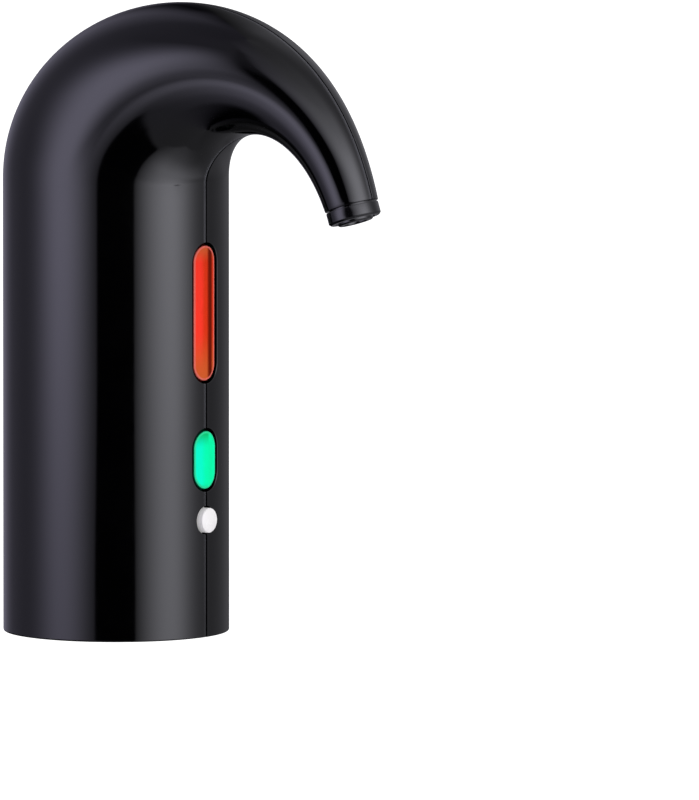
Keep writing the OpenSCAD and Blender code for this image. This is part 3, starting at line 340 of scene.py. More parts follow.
def half_shell_mesh(name, side):
    """Half shell on one side of the parting plane: rolled foot, body, hook, and rolled end of the spout."""
    foot = BASE_Z - HOOK_Z
    rings = []
    for t in QUARTER_TURN:
        level = foot + BASE_ROLL * (1 - math.cos(t))
        rings.append(half_section(0, (0, level), BASE_ROLL * (1 - math.sin(t)), side))
    for level in np.linspace(foot + BASE_ROLL, 0, BODY_ROWS)[1:-1]:
        rings.append(half_section(0, (0, level), 0, side))
    for u in np.linspace(0, 1, HOOK_ROWS)[:-1]:
        rings.append(half_section(u, (0, 0), 0, side))
    for t in np.radians([0, 30, 60, 90]):
        slide = TIP_DIR * TIP_ROLL * (math.sin(t) - 1)
        rings.append(half_section(1, slide, TIP_ROLL * (1 - math.cos(t)), side))
    count = len(rings[0])
    faces = ring_faces(len(rings), count)
    for row in (0, (len(rings) - 1) * count):
        skin, lining = row + SEAM_POINTS, row + count - 1
        for i in range(SKIN_STEPS):
            faces.append([skin + i, skin + i + 1, lining - i - 1, lining - i])
        skin_end = skin + SKIN_STEPS
        faces.append(list(range(row, skin + 1)) + [lining])
        faces.append(list(range(skin_end, skin_end + SEAM_POINTS + 1)) + [lining - SKIN_STEPS])
    return new_mesh(name, [p for ring in rings for p in ring], faces)


# Openings: how far a cutter reaches past the wall, and the flare of its edge as growth and depth per roll
CUT_OVER, CUT_IN, CUT_CLEAR = 3, 3.5, 0.02
FLARE = ((0.42, 0.25), (0.1, 0.62), (0, 1.1))


def opening_cutter(name, outline, side):
    """Cutter for an opening in the body's wall, flared at the skin so that the opening's edge is rolled."""
    def ring(grow, drop, flat=None):
        return [(side * (flat if flat is not None else math.sqrt(BODY_R ** 2 - y * y) - drop), y, z)
                for y, z in outline(grow)]

    rings = [ring(OPENING_ROLL, 0, BODY_R + CUT_OVER), ring(OPENING_ROLL, -CUT_CLEAR)]
    rings += [ring(grow * OPENING_ROLL, depth * OPENING_ROLL) for grow, depth in FLARE]
    return loft(name, rings + [ring(0, 0, INNER_R - CUT_IN)])


def opening_cutters():
    """Cutters of the openings for the keys and the charging socket, as one."""
    def long_key(key):
        return lambda grow: [(y, z + key["z"]) for y, z in stadium(key["w"], key["len"], LENS_GAP + grow)]

    def power(grow):
        return [(y, z + POWER_Z) for y, z in stadium(2 * POWER_R, 2 * POWER_R, KEY_GAP + grow, 30)]

    def charging(grow):
        return [(z, y + USB_Z) for y, z in stadium(USB_T, USB_W, USB_FIT + grow)]

    return join("openings", [
        opening_cutter("pour_opening", long_key(POUR), 1),
        opening_cutter("aerate_opening", long_key(AERATE), 1),
        opening_cutter("power_opening", power, 1),
        opening_cutter("charging_opening", charging, -1)])


LEVEL_SLACK, SKIN_SLACK, SAME_WAY = 0.01, 0.02, 0.96


def round_normals(piece):
    """Gives the straight part of the skin the normals of a true cylinder, past the cuts of the openings.

    The top ring leans a little into the hook, so that the hook's curve starts softly.
    """
    mesh = piece.data
    corner = np.zeros(len(mesh.loops), np.int32)
    mesh.loops.foreach_get("vertex_index", corner)
    at = np.array([v.co for v in mesh.vertices])[corner] / MM
    face_sizes = [p.loop_total for p in mesh.polygons]
    face = np.repeat(np.array([p.normal for p in mesh.polygons]), face_sizes, axis=0)
    radius = np.hypot(at[:, 0], at[:, 1])
    lean = np.where(at[:, 2] > HOOK_Z - LEVEL_SLACK, HOOK_LEAN, 0.0)
    out = np.stack([at[:, 0] / radius, at[:, 1] / radius, -lean * at[:, 0] / radius], 1)
    straight = (at[:, 2] > BASE_Z + BASE_ROLL - LEVEL_SLACK) & (at[:, 2] < HOOK_Z + LEVEL_SLACK)
    use = straight & (abs(radius - BODY_R) < SKIN_SLACK) & ((face * out).sum(1) > SAME_WAY)
    mesh.normals_split_custom_set(np.where(use[:, None], out, 0.0).tolist())


left_shell = half_shell_mesh("left_shell_skin", 1)
right_shell = half_shell_mesh("right_shell_skin", -1)
for shell in (left_shell, right_shell):
    cut(shell, opening_cutters())
    soften(shell)
    round_normals(shell)
settle(left_shell, BODY, "shell_black", "left_shell")
settle(right_shell, BODY, "shell_black", "right_shell")


# Keys
FACE_INSETS = (1.0, 1.8, 2.6, 3.4, 4.1)
FACE_MIDDLE = 0.06
RIM_ROLL, DOME_ROLL, DOME_TRIM = 0.1, 0.3, 0.35


def key_lens(name, key):
    """Long key: rim behind the shells, straight side, rolled edge, and a face that is round like the body."""
    def ring(grow, drop, flat=None):
        return [(flat if flat is not None else math.sqrt(key["face"] ** 2 - y * y) - drop, y, z + key["z"])
                for y, z in stadium(key["w"], key["len"], grow, 24)]

    rings = [ring(KEY_LIP, 0, RIM_BACK), ring(KEY_LIP, 0, RIM_FRONT), ring(0, 0, RIM_FRONT)]
    rings += [ring(-KEY_EDGE * (1 - math.cos(t)), KEY_EDGE * (1 - math.sin(t))) for t in QUARTER_TURN]
    rings += [ring(-inset, 0) for inset in (*FACE_INSETS, key["w"] / 2 - FACE_MIDDLE)]
    piece = loft(name, rings)
    soften(piece, SOFT_ANGLE)
    return piece


pour_key = settle(key_lens("pour_key_lens", POUR), "pour_key", "pour_lens", "pour_button")
aerate_key = settle(key_lens("aerate_key_lens", AERATE), "aerate_key", "aerate_lens", "aerate_button")

dome_mid = power_high[0] - DOME_R
dome_edge = math.asin((POWER_R - DOME_TRIM) / DOME_R)
dome = [(DOME_R * math.sin(t), dome_mid + DOME_R * math.cos(t), 0) for t in np.linspace(0, dome_edge, 12)]
rim_r = POWER_R + KEY_LIP
power_path = [(0, RIM_BACK, 0), (rim_r, RIM_BACK, RIM_ROLL), (rim_r, RIM_FRONT, RIM_ROLL),
              (POWER_R, RIM_FRONT, 0), (POWER_R, dome_mid + math.sqrt(DOME_R ** 2 - POWER_R ** 2), DOME_ROLL)]
power_key = lathe("power_key_dome", power_path + dome[::-1], axis_place((0, 0, POWER_Z), (1, 0, 0)), 96)
settle(power_key, "power_key", "power_white", "power_button")

# End of the spout
at_tip = axis_place((TIP[0], 0, TIP[1]), (TIP_DIR[0], 0, TIP_DIR[1]))
COLLAR_R, COLLAR_END, COLLAR_EASE, GROOVE = 6.85, 3.75, 0.5, 0.42
NOZZLE_R, NOZZLE_END, NOZZLE_EASE, NOZZLE_BACK = 4.65, 4.45, 0.35, -5
OUTLET_R, OUTLET_LEN, FLOW_R, BARB_R, BARB_BACK = 3.0, 6.0, 1.32, 1.97, -12
BORE_R = NOZZLE_R + 0.075
GROOVE_R, SEAT_R = COLLAR_R - 0.9, COLLAR_R - 0.05
SEAT_END, RING_START = GROOVE + 0.1, GROOVE + 0.12
seat = lathe("spout_collar_seat", [
    (BORE_R, 0, 0), (GROOVE_R, 0, 0), (GROOVE_R, GROOVE, 0), (SEAT_R, GROOVE, 0), (SEAT_R, SEAT_END, 0),
    (BORE_R, SEAT_END, 0)], at_tip)
settle(seat, BODY, "trim_black")
collar = lathe("spout_collar_ring", [
    (BORE_R, RING_START, 0), (COLLAR_R, RING_START, 0.1), (COLLAR_R, COLLAR_END - COLLAR_EASE, 0.2),
    (COLLAR_R - COLLAR_EASE, COLLAR_END, 0.15), (BORE_R + COLLAR_EASE, COLLAR_END, 0.15),
    (BORE_R, COLLAR_END - 1, 0)], at_tip)
settle(collar, BODY, "trim_black", "spout_collar")
nozzle = lathe("spout_nozzle_insert", [
    (FLOW_R, BARB_BACK, 0), (BARB_R, BARB_BACK, 0), (BARB_R, NOZZLE_BACK, 0), (NOZZLE_R, NOZZLE_BACK, 0),
    (NOZZLE_R, NOZZLE_END - NOZZLE_EASE, 0.15), (NOZZLE_R - NOZZLE_EASE, NOZZLE_END, 0.2),
    (OUTLET_R, NOZZLE_END, 0.25), (OUTLET_R, NOZZLE_END - OUTLET_LEN, 0.4),
    (FLOW_R, NOZZLE_END - OUTLET_LEN, 0.2)], at_tip)
settle(nozzle, BODY, "trim_black", "spout_nozzle")

# Base, neck socket and stopper
SOCKET_R, SOCKET_OUT, ROOF_Z, ROOF_TOP, CORE_R = 15.4, 17.2, 1.5, 3.7, 7.0
FIT = 0.15
COVER_TOP = BASE_Z + 2.4
SCREW_AT = (SOCKET_OUT + INNER_R) / 2
SCREW_ANGLES = (60, 180, 300)
HEAD_R, HEAD_T, HEAD_SUNK, SHANK_R, SHANK_LEN = 2.0, 1.2, 0.06, 1.1, 6.8
RECESS_R, RECESS_EASE, HOLE_R, HOLE_END = HEAD_R + FIT, 0.25, 1.25, 3.4
CROSS_LONG, CROSS_WIDE = 1.2, 0.26
CROSS_LEVELS = ((-0.5, 1), (0.4, 1), (0.75, 0.6))


def screw_spot(angle):
    a = math.radians(angle)
    return np.array([SCREW_AT * math.cos(a), SCREW_AT * math.sin(a), BASE_Z])


def turned_at(spot):
    """Matrix that moves a turned piece to a spot."""
    place = np.eye(4)
    place[:3, 3] = spot
    return place


cover = lathe("base_cover_ring", [
    (SOCKET_OUT + FIT, BASE_Z, 0.3), (INNER_R - FIT, BASE_Z, 0.3), (INNER_R - FIT, COVER_TOP, 0),
    (SOCKET_OUT + FIT, COVER_TOP, 0)], sides=192)
recess = [(0, -1, 0), (RECESS_R + RECESS_EASE, -1, 0), (RECESS_R + RECESS_EASE, 0, 0),
          (RECESS_R, RECESS_EASE, 0), (RECESS_R, HEAD_T, 0), (HOLE_R, HEAD_T, 0), (HOLE_R, HOLE_END, 0),
          (0, HOLE_END, 0)]
cut(cover, join("screw_recesses", [
    lathe("screw_recess", recess, turned_at(screw_spot(angle)), 48) for angle in SCREW_ANGLES]))
soften(cover)
settle(cover, BODY, "trim_black", "base_cover")

screws = []
for angle in SCREW_ANGLES:
    spot = screw_spot(angle)
    screw = lathe("base_screw", [
        (0, HEAD_SUNK, 0), (HEAD_R - 0.25, HEAD_SUNK, 0.2), (HEAD_R, 0.35, 0.2), (HEAD_R, HEAD_T, 0),
        (SHANK_R, HEAD_T, 0), (SHANK_R, HEAD_T + SHANK_LEN, 0.3), (0, HEAD_T + SHANK_LEN, 0)],
        turned_at(spot), 48)
    for long, wide in ((CROSS_LONG, CROSS_WIDE), (CROSS_WIDE, CROSS_LONG)):
        cut(screw, loft("cross_bar", [
            [spot + (s * long * f, t * wide * f, z) for s, t in SQUARE] for z, f in CROSS_LEVELS]))
    soften(screw)
    screws.append(screw)
base_screws = settle(join("base_screw_set", screws), BODY, "screw_steel", "base_screws")
soften(base_screws)

socket = lathe("neck_socket_cup", [
    (SOCKET_R, BASE_Z, 0.4), (SOCKET_OUT, BASE_Z, 0.3), (SOCKET_OUT, ROOF_TOP, 0.3),
    (CORE_R + FIT, ROOF_TOP, 0), (CORE_R + FIT, ROOF_Z, 0), (SOCKET_R, ROOF_Z, 0.5)], sides=160)
settle(socket, BODY, "trim_black", "neck_socket")

STOPPER_R, STOPPER_LEN, STOPPER_EASE, DENT_W, DENT_D = 9.25, 14.5, 1, 1.4, 0.6
STOPPER_BORE, FLANGE_R = CORE_R + 0.03, SOCKET_R - FIT
dents = []
for i in (3, 2, 1):
    mid = -i * STOPPER_LEN / 4
    dents += [(STOPPER_R, mid - DENT_W / 2, 0.25), (STOPPER_R - DENT_D, mid - DENT_W / 2, 0.2),
              (STOPPER_R - DENT_D, mid + DENT_W / 2, 0.2), (STOPPER_R, mid + DENT_W / 2, 0.25)]
stopper = lathe("bottle_stopper_sleeve", [
    (STOPPER_BORE, -STOPPER_LEN, 0.15), (STOPPER_R - STOPPER_EASE, -STOPPER_LEN, 0.3),
    (STOPPER_R, STOPPER_EASE - STOPPER_LEN, 0.3), *dents, (STOPPER_R, 0, 0.4), (FLANGE_R, 0, 0.4),
    (FLANGE_R, ROOF_Z, 0), (STOPPER_BORE, ROOF_Z, 0)], sides=160)
settle(stopper, BODY, "stopper_silicone", "bottle_stopper")

# Dip tube: three sliding sections, the fixed housing round them and the strainer
TUBE_WALL, GUIDE = 0.4, 4.0


def tube_section(name, node, body, bore, neck, collar_r):
    """One section: a narrow neck at its foot, and a guiding collar at its top where it has one."""
    low, high = corners(node)
    foot, top = low[2], high[2]
    out = bore + TUBE_WALL
    path = [(neck, foot, 0.08), (out, foot, 0.12)]
    if collar_r:
        path += [(out, top - GUIDE, 0), (collar_r, top - GUIDE, 0.1), (collar_r, top, 0.1)]
    else:
        path += [(out, top, 0)]
    path += [(bore, top, 0.08)]
    if neck < bore:
        path += [(bore, foot + GUIDE, 0), (neck, foot + GUIDE, 0)]
    settle(lathe(name, path, sides=72), body, "tube_steel", node)


LOWER_BORE = 1.7
tube_section("tube_housing_sleeve", "tube_housing", BODY, 4.25, 3.86, 0)
tube_section("dip_tube_upper_section", "dip_tube_upper", "tube_upper", 3.4, 3.01, 4.19)
tube_section("dip_tube_middle_section", "dip_tube_middle", "tube_middle", 2.55, 2.16, 3.34)
tube_section("dip_tube_lower_section", "dip_tube_lower", "tube_lower", LOWER_BORE, LOWER_BORE, 2.49)

strainer_low, strainer_high = corners("tube_strainer")
STRAINER_R, STRAINER_EASE, STRAINER_BORE = strainer_high[0], 0.6, 2.13
SLOT_IN, SLOT_OUT, SLOT_HALF = 0.85, 4.5, 0.5
foot_z, head_z = strainer_low[2], strainer_high[2]
stop_z, floor_z = head_z - 2, foot_z + 1
strainer = lathe("tube_strainer_cup", [
    (0, foot_z, 0), (STRAINER_R - STRAINER_EASE, foot_z, 0.3), (STRAINER_R, foot_z + STRAINER_EASE, 0.3),
    (STRAINER_R, head_z, 0.3), (STRAINER_BORE, head_z, 0.1), (STRAINER_BORE, stop_z, 0),
    (LOWER_BORE, stop_z, 0), (LOWER_BORE, floor_z, 0), (0, floor_z, 0)], sides=96)
slot_top = (stop_z + foot_z + 1) / 2
slot_plan = ((SLOT_IN, -SLOT_HALF), (SLOT_OUT, -SLOT_HALF), (SLOT_OUT, SLOT_HALF), (SLOT_IN, SLOT_HALF))
for k in range(4):
    a = math.pi * k / 2
    turn = np.array([[math.cos(a), -math.sin(a)], [math.sin(a), math.cos(a)]])
    cut(strainer, loft("strainer_slot", [
        [(*(turn @ np.array(p)), z) for p in slot_plan] for z in (foot_z - 1, slot_top)]))
soften(strainer)
settle(strainer, "tube_lower", "pump_plastic", "tube_strainer")

# Charging socket: drawn steel shell, tongue and its contacts
USB_FACE, USB_END, USB_WALL = usb_low[0], usb_high[0], 0.3
USB_EDGE, USB_EASE = 0.1, 0.03
TONGUE_W, TONGUE_T, TONGUE_LEN = 6.5, 0.7, 5.2
CONTACT_PITCH, CONTACT_BACK, HALF_CONTACT_W, HALF_CONTACT_T = 0.5, 0.5, 0.13, 0.04
tongue_end = USB_END - 1


def usb_ring(grow, x):
    return [(x, z, y + USB_Z) for y, z in stadium(USB_T, USB_W, grow)]


usb_shell = loft("charging_socket_shell", [
    usb_ring(-USB_EDGE, USB_END), usb_ring(0, USB_END - USB_EDGE), usb_ring(0, USB_FACE + USB_EDGE),
    usb_ring(-USB_EASE, USB_FACE + USB_EASE), usb_ring(-USB_EDGE, USB_FACE),
    usb_ring(USB_EDGE - USB_WALL, USB_FACE), usb_ring(USB_EASE - USB_WALL, USB_FACE + USB_EASE),
    usb_ring(-USB_WALL, USB_FACE + USB_EDGE), usb_ring(-USB_WALL, tongue_end)])
soften(usb_shell)
settle(usb_shell, BODY, "contact_nickel", "charging_socket")


def rounded_bar(name, low, high, edge):
    """Bar along X with rolled long edges and a rolled front end."""
    mid = (np.array(low) + np.array(high)) / 2
    half = (np.array(high) - np.array(low)) / 2
    rings = []
    for x, inset in ((low[0], edge), (low[0] + 0.4 * edge, 0.35 * edge), (low[0] + edge, 0), (high[0], 0)):
        ring = []
        for sy, sz, start in ((1, 1, 0), (-1, 1, 90), (-1, -1, 180), (1, -1, 270)):
            for t in np.radians([start, start + 45, start + 90]):
                ring.append((x, mid[1] + sy * (half[1] - edge) + (edge - inset) * math.cos(t),
                             mid[2] + sz * (half[2] - edge) + (edge - inset) * math.sin(t)))
        rings.append(ring)
    piece = loft(name, rings)
    soften(piece)
    return piece


tongue_front = tongue_end - TONGUE_LEN
tongue = rounded_bar("charging_socket_tongue", (tongue_front, -TONGUE_W / 2, USB_Z - TONGUE_T / 2),
                     (tongue_end, TONGUE_W / 2, USB_Z + TONGUE_T / 2), 0.15)
settle(tongue, BODY, "trim_black")
bars = []
for face_z in (USB_Z - TONGUE_T / 2, USB_Z + TONGUE_T / 2):
    for y in (np.arange(12) - 5.5) * CONTACT_PITCH:
        low = (tongue_front + CONTACT_BACK, y - HALF_CONTACT_W, face_z - HALF_CONTACT_T)
        high = (tongue_end, y + HALF_CONTACT_W, face_z + HALF_CONTACT_T)
        bars.append(rounded_bar("contact", low, high, 0.03))
contacts = settle(join("charging_socket_contacts", bars), BODY, "contact_nickel")
soften(contacts)


# Finishes
COLOUR, VECTOR, NUMBER = "NodeSocketColor", "NodeSocketVector", "NodeSocketFloat"
TONES = {"Dark": COLOUR, "Light": COLOUR, "Smooth": NUMBER, "Rough": NUMBER}
SURFACE = {"Color": COLOUR, "Roughness": NUMBER, "Height": NUMBER}
NOISE_LOW, NOISE_HIGH = 0.3, 0.7
TRACK_PITCH = 420.0
# Where the painted highlight beside the seam lies: its inner and outer distance from the seam, and the
# heights over which it grows from faint to full
LINE_INNER, LINE_OUTER, LINE_FOOT, LINE_HEAD = 0.27, 1.5, -20.0, 85.0


def new_group(name, inputs, outputs):
    """Shader node group with its own sockets."""
    tree = bpy.data.node_groups.new(name, "ShaderNodeTree")
    for label, kind in inputs.items():
        tree.interface.new_socket(label, in_out="INPUT", socket_type=kind)
    for label, kind in outputs.items():
        tree.interface.new_socket(label, in_out="OUTPUT", socket_type=kind)
    return tree, tree.nodes.new("NodeGroupInput"), tree.nodes.new("NodeGroupOutput")


def feed(tree, socket, source):
    """Gives a socket a number, or a link from another socket."""
    if isinstance(source, (int, float)):
        socket.default_value = source
    else:
        tree.links.new(source, socket)


def set_range(tree, value, low, high, to_low=0.0, to_high=1.0, kind="LINEAR"):
    """Map Range node."""
    node = tree.nodes.new("ShaderNodeMapRange")
    node.interpolation_type = kind
    ends = {"From Min": low, "From Max": high, "To Min": to_low, "To Max": to_high}
    for label, source in {"Value": value, **ends}.items():
        feed(tree, node.inputs[label], source)
    return node.outputs["Result"]


def noise_range(tree, pattern, to_low=0.0, to_high=1.0):
    """Spreads a noise over a range."""
    return set_range(tree, pattern, NOISE_LOW, NOISE_HIGH, to_low, to_high)


def band(tree, value, low, high):
    """Soft step from 0 to 1 between two levels."""
    return set_range(tree, value, low, high, kind="SMOOTHSTEP")


def number(tree, operation, first, second=0.0):
    """Math node."""
    node = tree.nodes.new("ShaderNodeMath")
    node.operation = operation
    feed(tree, node.inputs[0], first)
    feed(tree, node.inputs[1], second)
    return node.outputs["Value"]


def blend_colour(tree, factor, first, second):
    node = tree.nodes.new("ShaderNodeMix")
    node.data_type = "RGBA"
    tree.links.new(factor, node.inputs["Factor"])
    for label, source in (("A", first), ("B", second)):
        socket = [s for s in node.inputs if s.name == label and s.type == "RGBA"][0]
        if isinstance(source, tuple):
            socket.default_value = (*source, 1)
        else:
            tree.links.new(source, socket)
    return [s for s in node.outputs if s.type == "RGBA"][0]


def noise(tree, vector, scale, detail=3.0):
    node = tree.nodes.new("ShaderNodeTexNoise")
    tree.links.new(vector, node.inputs["Vector"])
    node.inputs["Detail"].default_value = detail
    feed(tree, node.inputs["Scale"], scale)
    return node.outputs["Fac"]


def object_vector(tree):
    return tree.nodes.new("ShaderNodeTexCoord").outputs["Object"]


def put_out(tree, made, **results):
    """Links results to the outputs of a group."""
    for label, source in results.items():
        tree.links.new(source, made.inputs[label])


def put_tones(tree, given, made, tone, gloss, height):
    """Puts out a colour between two tones, a gloss between two levels, and a height."""
    colour = blend_colour(tree, noise_range(tree, tone), given.outputs["Dark"], given.outputs["Light"])
    roughness = noise_range(tree, gloss, given.outputs["Smooth"], given.outputs["Rough"])
    put_out(tree, made, Color=colour, Roughness=roughness, Height=height)


def moulded_grain_group():
    """Moulded surface: slow drift of the colour, finer drift of the gloss, and a fine grain as height."""
    tree, given, made = new_group("moulded_grain", {**TONES, "Grain Scale": NUMBER}, SURFACE)
    place = object_vector(tree)
    drift = noise(tree, place, 60.0)
    gloss = noise(tree, place, 220.0, 5.0)
    grain = noise(tree, place, given.outputs["Grain Scale"], 2.0)
    put_tones(tree, given, made, drift, gloss, grain)
    return tree


def drawn_metal_group():
    """Drawn or turned metal: fine lines along the axis in the gloss, the tone and the height."""
    tree, given, made = new_group("drawn_metal", {**TONES, "Stretch": VECTOR}, SURFACE)
    stretch = tree.nodes.new("ShaderNodeVectorMath")
    stretch.operation = "MULTIPLY"
    tree.links.new(object_vector(tree), stretch.inputs[0])
    tree.links.new(given.outputs["Stretch"], stretch.inputs[1])
    lines = noise(tree, stretch.outputs["Vector"], 2600.0, 4.0)
    put_tones(tree, given, made, lines, lines, lines)
    return tree


def copper_tracks_group():
    """Solder mask over copper: a mask of straight-edged copper areas, and their height."""
    tree, _, made = new_group("copper_tracks", {}, {"Mask": NUMBER, "Height": NUMBER})
    cells = tree.nodes.new("ShaderNodeTexVoronoi")
    cells.distance = "CHEBYCHEV"
    cells.inputs["Scale"].default_value = TRACK_PITCH
    tree.links.new(object_vector(tree), cells.inputs["Vector"])
    tracks = set_range(tree, cells.outputs["Distance"], 0.36, 0.4)
    put_out(tree, made, Mask=tracks, Height=tracks)
    return tree


def parting_highlight_group():
    """Mask of a painted highlight: the thin pale line beside the right shell's edge along the seam, fainter
    towards the base.
    """
    tree, _, made = new_group("parting_highlight", {}, {"Mask": NUMBER})
    place = object_vector(tree)
    split = tree.nodes.new("ShaderNodeSeparateXYZ")
    tree.links.new(place, split.inputs["Vector"])
    from_seam = number(tree, "MULTIPLY", split.outputs["Y"], -1.0)
    past_inner = number(tree, "GREATER_THAN", from_seam, LINE_INNER * MM)
    past_line = band(tree, from_seam, LINE_INNER * MM, LINE_OUTER * MM)
    line = number(tree, "SUBTRACT", past_inner, past_line)
    fade = set_range(tree, split.outputs["Z"], LINE_FOOT * MM, LINE_HEAD * MM, 0.25, 1.0)
    # Faint noise that breaks up the painted highlight
    patchy = noise_range(tree, noise(tree, place, 300.0), 0.85, 1.0)
    faded = number(tree, "MULTIPLY", number(tree, "MAXIMUM", line), fade)
    put_out(tree, made, Mask=number(tree, "MULTIPLY", faded, patchy))
    return tree


LENS_COLOURS = ("Bright", "Mid", "Shade", "Top", "Foot", "Rim", "Side")
LENS_NUMBERS = ("Shift", "Half Width", "Middle", "Half Straight", "Top Start", "Foot Start")


def lit_lens_group():
    """Glow of a lit key: bands across its face, other tones at its ends, a painted highlight along its
    border, painted shade on its sides.
    """
    inputs = {**dict.fromkeys(LENS_COLOURS, COLOUR), **dict.fromkeys(LENS_NUMBERS, NUMBER)}
    tree, given, made = new_group("lit_lens", inputs, SURFACE)
    value = given.outputs
    place = object_vector(tree)
    split = tree.nodes.new("ShaderNodeSeparateXYZ")
    tree.links.new(place, split.inputs["Vector"])
    half, straight = value["Half Width"], value["Half Straight"]
    across = number(tree, "DIVIDE", number(tree, "SUBTRACT", split.outputs["Y"], value["Shift"]), half)
    height = number(tree, "SUBTRACT", split.outputs["Z"], value["Middle"])
    past = number(tree, "SUBTRACT", number(tree, "ABSOLUTE", height), straight)
    round_end = number(tree, "DIVIDE", number(tree, "MAXIMUM", past), half)
    across_part = number(tree, "POWER", number(tree, "ABSOLUTE", across), 2.0)
    end_part = number(tree, "POWER", round_end, 2.0)
    outward = number(tree, "SQRT", number(tree, "ADD", across_part, end_part))
    reach = number(tree, "DIVIDE", height, number(tree, "ADD", straight, half))
    cloud = noise(tree, place, 420.0)
    drift = number(tree, "MULTIPLY", number(tree, "SUBTRACT", cloud, 0.5), 0.25)
    bands = number(tree, "ADD", across, drift)
    face = blend_colour(tree, band(tree, bands, -0.45, 0.05), value["Bright"], value["Mid"])
    face = blend_colour(tree, band(tree, reach, value["Top Start"], 1.0), face, value["Top"])
    down = number(tree, "MULTIPLY", reach, -1.0)
    face = blend_colour(tree, band(tree, down, value["Foot Start"], 1.0), face, value["Foot"])
    stripe = number(tree, "SUBTRACT", band(tree, across, 0.12, 0.42), band(tree, across, 0.6, 0.8))
    face = blend_colour(tree, stripe, face, value["Shade"])
    # Painted highlight along the rounded border, then painted shade on the key's sides
    line = number(tree, "MULTIPLY", band(tree, outward, 0.82, 0.9), 0.9)
    face = blend_colour(tree, line, face, value["Rim"])
    face = blend_colour(tree, band(tree, outward, 0.95, 0.99), face, value["Side"])
    grain = noise(tree, place, 3000.0, 2.0)
    put_out(tree, made, Color=face, Roughness=noise_range(tree, cloud, 0.16, 0.26), Height=grain)
    return tree


MOULDED_GRAIN = moulded_grain_group()
DRAWN_METAL = drawn_metal_group()
COPPER_TRACKS = copper_tracks_group()
PARTING_HIGHLIGHT = parting_highlight_group()
LIT_LENS = lit_lens_group()


FINISHES = {}
BUMP_HEIGHT = 0.02


def new_material(name, group, settings, bump, **shader_values):
    """Principled material whose varying values come from a group, with its steady values on the shader."""
    material = bpy.data.materials.new(name)
    material.use_nodes = True
    tree = material.node_tree
    shader = tree.nodes["Principled BSDF"]
    detail = tree.nodes.new("ShaderNodeGroup")
    detail.node_tree = group
    for label, value in settings.items():
        socket = detail.inputs[label]
        socket.default_value = (*value, 1) if socket.type == "RGBA" else value
    for label, target in (("Color", "Base Color"), ("Roughness", "Roughness")):
        if label in detail.outputs:
            tree.links.new(detail.outputs[label], shader.inputs[target])
    relief = tree.nodes.new("ShaderNodeBump")
    relief.inputs["Strength"].default_value = bump
    relief.inputs["Distance"].default_value = BUMP_HEIGHT * MM
    tree.links.new(detail.outputs["Height"], relief.inputs["Height"])
    tree.links.new(relief.outputs["Normal"], shader.inputs["Normal"])
    for label, value in shader_values.items():
        shader.inputs[label.replace("_", " ")].default_value = value
    FINISHES[name] = material
    return material


def shader_parts(material):
    """Node tree of a material, outputs of its group, and inputs of its shader."""
    tree = material.node_tree
    detail = [n for n in tree.nodes if n.type == "GROUP"][0]
    return tree, detail.outputs, tree.nodes["Principled BSDF"].inputs


def plastic(name, dark, light, smooth, rough, bump=0.05, grain=3000.0, **values):
    tones = {"Dark": dark, "Light": light, "Smooth": smooth, "Rough": rough, "Grain Scale": grain}
    return new_material(name, MOULDED_GRAIN, tones, bump, **values)


def gloss_shell(name, dark, light, line, **values):
    """Gloss of the half shells, with a painted highlight: a paler line along the parting edge."""
    material = plastic(name, dark, light, smooth=0.07, rough=0.095, bump=0.01, grain=1500.0, **values)
    tree, detail, shader = shader_parts(material)
    edge = tree.nodes.new("ShaderNodeGroup")
    edge.node_tree = PARTING_HIGHLIGHT
    tree.links.new(blend_colour(tree, edge.outputs["Mask"], detail["Color"], line), shader["Base Color"])


def metal(name, dark, light, smooth, rough, stretch=(1, 1, 0.03)):
    tones = {"Dark": dark, "Light": light, "Smooth": smooth, "Rough": rough, "Stretch": stretch}
    new_material(name, DRAWN_METAL, tones, 0.15, Metallic=1.0)


def lens(name, key, border, glow, top_start, foot_start, **colours):
    """Lit key whose lamp reaches all of its face but a border on the far side, which takes the painted shade
    of its sides.
    """
    lit_w = key["w"] - border
    material = new_material(name, LIT_LENS, {
        **colours, "Shift": -border / 2 * MM, "Half Width": lit_w / 2 * MM, "Middle": key["z"] * MM,
        "Half Straight": (key["len"] - lit_w) / 2 * MM, "Top Start": top_start, "Foot Start": foot_start},
        0.02, Specular_IOR_Level=0.04, Emission_Strength=glow)
    tree, detail, shader = shader_parts(material)
    tree.links.new(detail["Color"], shader["Emission Color"])


def board_mask(name, mask_tone, track_tone):
    material = new_material(name, COPPER_TRACKS, {}, 0.4, Roughness=0.3)
    tree, detail, shader = shader_parts(material)
    tree.links.new(blend_colour(tree, detail["Mask"], mask_tone, track_tone), shader["Base Color"])


# The third tone of the shells is a painted highlight along the parting edge
gloss_shell("shell_black", (0.0002, 0.0002, 0.0003), (0.0005, 0.0005, 0.0006), (0.06, 0.06, 0.064),
            Specular_IOR_Level=0.625)
plastic("trim_black", (0.001, 0.001, 0.0012), (0.002, 0.002, 0.0022), 0.1, 0.16, 0.03,
        Specular_IOR_Level=0.625)
plastic("stopper_silicone", (0.02, 0.02, 0.022), (0.03, 0.03, 0.033), 0.42, 0.55, 0.3, 1800.0)
